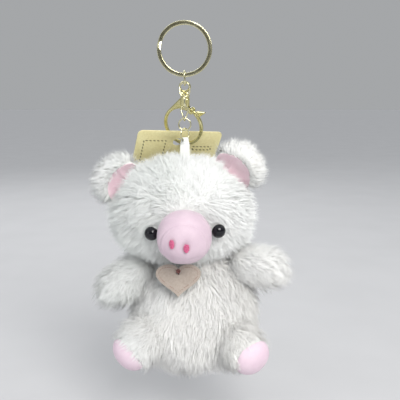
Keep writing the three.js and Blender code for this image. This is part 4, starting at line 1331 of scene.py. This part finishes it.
def head_shorter(at):
    eye = np.clip((near_eyes(at) - EYE_BARE) / 7, 0, 1)
    snout = np.clip((SNOUT.share(at) - 1.0) / 0.5, 0, 1)
    ear = np.clip((nearest(at, [form.middle for form in EARS.values()]) - 7) / 8, 0, 1)
    return (0.5 + 0.5 * eye) * (0.5 + 0.5 * snout) * (0.6 + 0.4 * ear)


def make_head():
    skin = backing("head_plush", HEAD, seed=11)
    dressed(skin, BACKING, "head", "head_skin", "head_filling", slot="white_plush")
    # The head's low tone is painted shade, which tones down the lamps' light on it.
    pile = Pile(head_comb, long=7.4, lift=0.6, droop=0.2, tone=0.2)

    def keep(at):
        clear = clear_of(at, SNOUT, by=0.2) & clear_of(at, *EARS.values(), by=-2.0)
        return clear & clear_of(at, TORSO, by=-4.0) & (near_eyes(at) > EYE_BARE)

    fur_on(skin, "head_fur", pile, keep, 100, head_shorter, "head")


def blended(skin, furs):
    """Puts the place and turn of a skin and its fur into their meshes."""
    for piece in (skin, *furs):
        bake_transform(piece)


def make_torso():
    skin = backing("torso_plush", TORSO, seed=21, belly=BELLY)
    dressed(skin, BACKING, None, "torso_skin", "torso_filling", slot="white_plush")
    # The torso's high tone is painted light.
    pile = Pile(torso_comb, long=7.6, lift=0.62, droop=0.35, tone=0.9)
    roots = [form.grown(-5.5) for form in LIMBS.values()]

    def keep(at):
        return clear_of(at, HEAD, by=-3.0) & clear_of(at, *roots)

    furs = fur_on(skin, "torso_fur", pile, keep, 200)
    blended(skin, furs)


def make_limb(name, form, seed):
    is_leg = name.startswith("leg")
    deep = LEG_PILE_DEPTH if is_leg else ARM_PILE_DEPTH
    skin = backing(f"{name}_plush", form, detail=5, lumps=0.5, seed=seed, deep=deep)
    dressed(skin, BACKING, None, f"{name}_skin", f"{name}_filling", slot="white_plush")
    way = form.turn[:, 2]
    # The legs' high tone is painted light.
    pile = Pile(limb_comb(way), long=7.6, lift=0.55, droop=0.15, tone=0.9 if is_leg else 0.35)
    low = (form.middle + way * form.half[2])[2] - 2

    def off_sole(at):
        """How far from the sole's middle line, and how far along the limb."""
        x, y, z = form.own(at).T
        return np.hypot(x, y) if is_leg else np.full(len(at), 99.0), z

    def keep(at):
        radius, along = off_sole(at)
        bare = (radius < SOLE_WIDE / 2 - 1.0) & (along > 0)
        return clear_of(at, TORSO, by=-5.0) & clear_of(at, HEAD, by=-4.0) & ~bare

    def shorter(at):
        radius, along = off_sole(at)
        edge = np.clip((radius - SOLE_WIDE / 2) / 5, 0, 1)
        below = is_leg & (at[:, 2] < low) & (along > 4)
        return np.where(along > 0, 0.8 + 0.2 * edge, 1.0) * np.where(below, 0.7, 1.0)

    furs = fur_on(skin, f"{name}_fur", pile, keep, seed + 300, shorter)
    blended(skin, furs)


def make_sole(side):
    form = LIMBS[f"leg_{side}"]
    piece, sphere = ball(f"sole_velour_{side}", 6)
    places = form.grown(-SOLE_SUNK).shaped(sphere)
    own = form.own(places)
    radius = length(own[:, :2])
    share = np.clip(radius / (SOLE_WIDE / 2), 0, 1)
    proud = SOLE_CROWN * np.sqrt(1 - share ** 6) - SOLE_RIM_IN
    put_points(piece, places + unit(places - form.middle) * proud[:, None])
    choose(piece, "vertices", (own[:, 2] < 0) | (radius > SOLE_WIDE / 2 * 1.03))
    with edit_mode(piece):
        bpy.ops.mesh.delete(type="VERT")
    applied(piece, "SOLIDIFY", thickness=SOLE_THICK * MM, offset=-1)
    dressed(smooth(piece, 60), SOLE_VELOUR, f"leg_{side}", f"sole_{side}", slot="pink_velour")


class EarPlan:
    """Where an ear's lining lies on its front: a bowl that runs on into the head."""

    def __init__(self, form):
        self.form = form
        self.inward = unit(form.own(HEAD.middle)[:2])
        self.aside = row(-self.inward[1], self.inward[0])

    def shares(self, own):
        """How far inwards and how far aside, in half sizes of the ear."""
        flat = own[:, :2] / self.form.half[:2]
        return flat @ self.inward, flat @ self.aside

    def bowl(self, own):
        """Under 1 inside the bowl."""
        inward, aside = self.shares(own)
        return np.hypot((inward - EAR_BOWL_IN_SHARE) / EAR_BOWL_LONG_SHARE, aside)

    def lined(self, places):
        own = self.form.own(places)
        return (own[:, 2] > -2) & (self.bowl(own) < 0.98)


def make_ear(side, seed):
    """The back of an ear is plush, folded over its rim; its front is a shallow bowl of velour."""
    form = EARS[side]
    plan = EarPlan(form)
    skin, sphere = ball(f"ear_{side}_plush", 5)
    own = form.own(form.grown(-1.2).shaped(sphere))
    bowl = plan.bowl(own)
    front = np.minimum(own[:, 2], np.where(bowl < 1, 0.1 + 3.6 * bowl ** 2, 3.7))
    own[:, 2] = np.where(own[:, 2] > 0, front, own[:, 2])
    put_points(skin, form.placed(own))
    applied(skin, "SMOOTH", factor=0.5, iterations=4)
    dressed(smooth(skin, 180), BACKING, "head", f"ear_{side}_back", slot="white_plush")

    def comb(at):
        out = form.own(at)
        out[:, 2] = -2.0
        return unit(out @ form.turn.T) * 0.9 + unit(at - HEAD.middle) * 0.5 - UP * 0.15

    def keep(at):
        return ~plan.lined(at) & clear_of(at, HEAD, by=-2.5)

    pile = Pile(comb, long=6.2, lift=0.6, droop=0.1, per_square=5.0)
    fur_on(skin, f"ear_{side}_fur", pile, keep, seed, body="head")

    lining, sphere = ball(f"ear_{side}_velour", 6)
    inward = EAR_BOWL_IN_SHARE + EAR_BOWL_LONG_SHARE * sphere[:, :1]
    spread = inward * plan.inward + sphere[:, 1:2] * plan.aside
    spread *= np.minimum(1, 0.93 / np.maximum(length(spread), 1e-6))[:, None]
    own = np.column_stack([spread * form.half[:2], np.zeros(len(spread))])
    inward, aside = plan.shares(own)
    aside *= 1 if side == "left" else -1
    pleat = 0.8 * bell(aside - 0.28 + 0.5 * inward, 0.09) + 0.6 * bell(aside + 0.55 - 0.3 * inward, 0.08)
    face = 0.7 + 3.4 * plan.bowl(own) ** 2 + pleat * np.clip(1.15 - plan.bowl(own), 0, 1)
    own[:, 2] = np.where(sphere[:, 2] > 0, face, face - 0.7)
    put_points(lining, form.placed(own))
    # The lining's pale velour is painted light against the bowl's shade.
    dressed(smooth(lining, 60), PAINTED_LIGHT_EAR_VELOUR, "head", f"ear_{side}_lining", slot="pink_velour")


def make_snout():
    piece, sphere = ball("snout_velour", 6)
    places = SNOUT.shaped(sphere)
    own = places - SNOUT.middle
    across, high = own[:, 0] / SNOUT.half[0], own[:, 2] / SNOUT.half[2]
    face = np.hypot(across, high + 0.2)
    seam = 0.25 * bell(face - 0.79, 0.03) - 0.35 * bell(face - 0.86, 0.03)
    fold = bell(high + 0.7 - 0.1 * across, 0.035) * bell(across - 0.3, 0.35)
    proud = np.where(own[:, 1] < 0, seam - 0.5 * np.clip(1 - face / 0.8, 0, 1) - 0.3 * fold, 0)
    for spot in NOSTRILS.values():
        proud -= 0.75 * bell(length((places - spot) / row(1, 1, 1.5)), 1.9)
    proud += 0.18 * waves(places, 9, 31)
    put_points(piece, places + unit(own / SNOUT.half ** 2) * proud[:, None])
    # The snout's velour is the darker copy, painted shade.
    dressed(smooth(piece, 180), SHADED_VELOUR, "head", "snout_skin", "snout_filling", slot="pink_velour")


def make_nostril(side):
    """Satin stitches laid side by side over a small oval."""
    spot = NOSTRILS[side]
    facing = unit((spot - SNOUT.middle) / SNOUT.half ** 2)
    across = unit(np.cross(facing, UP))
    up = np.cross(across, facing)
    run = np.linspace(-1, 1, 9)
    arch = 0.55 * (1 - run ** 2) - 0.45
    threads = []
    for i in range(NOSTRIL_ROWS):
        share = (i + 0.5) / NOSTRIL_ROWS * 2 - 1
        reach = NOSTRIL_WIDE / 2 * math.sqrt(1 - share ** 2 * 0.96)
        path = (spot + up * share * NOSTRIL_TALL / 2 - across * (run * reach)[:, None]
                + facing * (arch + 0.3)[:, None] + up * (0.12 * math.sin(i * 2.1) * run)[:, None])
        _, out, aside = along_path(path, facing)
        section = round_section(NOSTRIL_TALL / NOSTRIL_ROWS * 1.15, 8)
        threads.append(swept("stitch", path, out, aside, section))
    piece = joined(f"nostril_stitches_{side}", *threads)
    dressed(smooth(piece, 60), STITCH, "head", f"nostril_{side}", slot="magenta_stitch")


def make_eye(side):
    """A bead, flat behind, on a post that runs into the head."""
    place = EYES[side]
    own = (place - HEAD.middle) / HEAD.half
    facing = unit(np.sign(own) * np.abs(own) ** (HEAD.fullness - 1) / HEAD.half)
    bead, sphere = ball("bead", 5)
    places = sphere * EYE_BEAD / 2
    places[:, 2] *= np.where(places[:, 2] > 0, 2 * EYE_PROUD / EYE_BEAD * 1.08, 0.35)
    put_points(bead, places @ turn_to(facing).T + place + facing * 0.9)
    post = rod("post", place + facing * 0.8, place - facing * EYE_POST_LONG, EYE_POST, 24)
    piece = joined(f"eye_bead_{side}", bead, post)
    dressed(smooth(piece, 60), BEAD, "head", f"eye_{side}", slot="black_bead")


def make_tail():
    """One curl, thinner towards its round tip."""
    share = np.linspace(0, 1, 60)
    angle = share * 1.1 * FULL_TURN
    radius = (TAIL_LOOP - TAIL_WIRE) / 2
    path = TAIL_ROOT + np.stack([radius * np.sin(angle), share * TAIL_LONG, radius * (1 - np.cos(angle))], 1)
    path[:, 1] -= 3.0 * (1 - share) ** 6
    _, out, aside = along_path(path, row(0, 1, 0))
    wide = (1 - 0.45 * share) * np.where(share > 0.94, np.sqrt(np.clip((1 - share) / 0.06, 0.02, 1)), 1)
    scale = np.stack([wide, wide], 1)
    tail = swept("tail_velour", path, out, aside, round_section(TAIL_WIRE), scale, angle=60)
    # The tail's velour is the darker copy, painted shade.
    dressed(tail, SHADED_VELOUR, "torso", "tail", slot="pink_velour")


make_head()
make_torso()
for seed, (name, form) in enumerate(LIMBS.items()):
    make_limb(name, form, 31 + seed)
for side in ("left", "right"):
    make_sole(side)
    make_ear(side, 500 if side == "left" else 600)
    make_nostril(side)
    make_eye(side)
make_snout()
make_tail()

for name, material in (("eye_left_washer", WASHER), ("eye_right_washer", WASHER), ("clasp_spring", SPRING)):
    dressed(frame["nodes"][name], material, None)
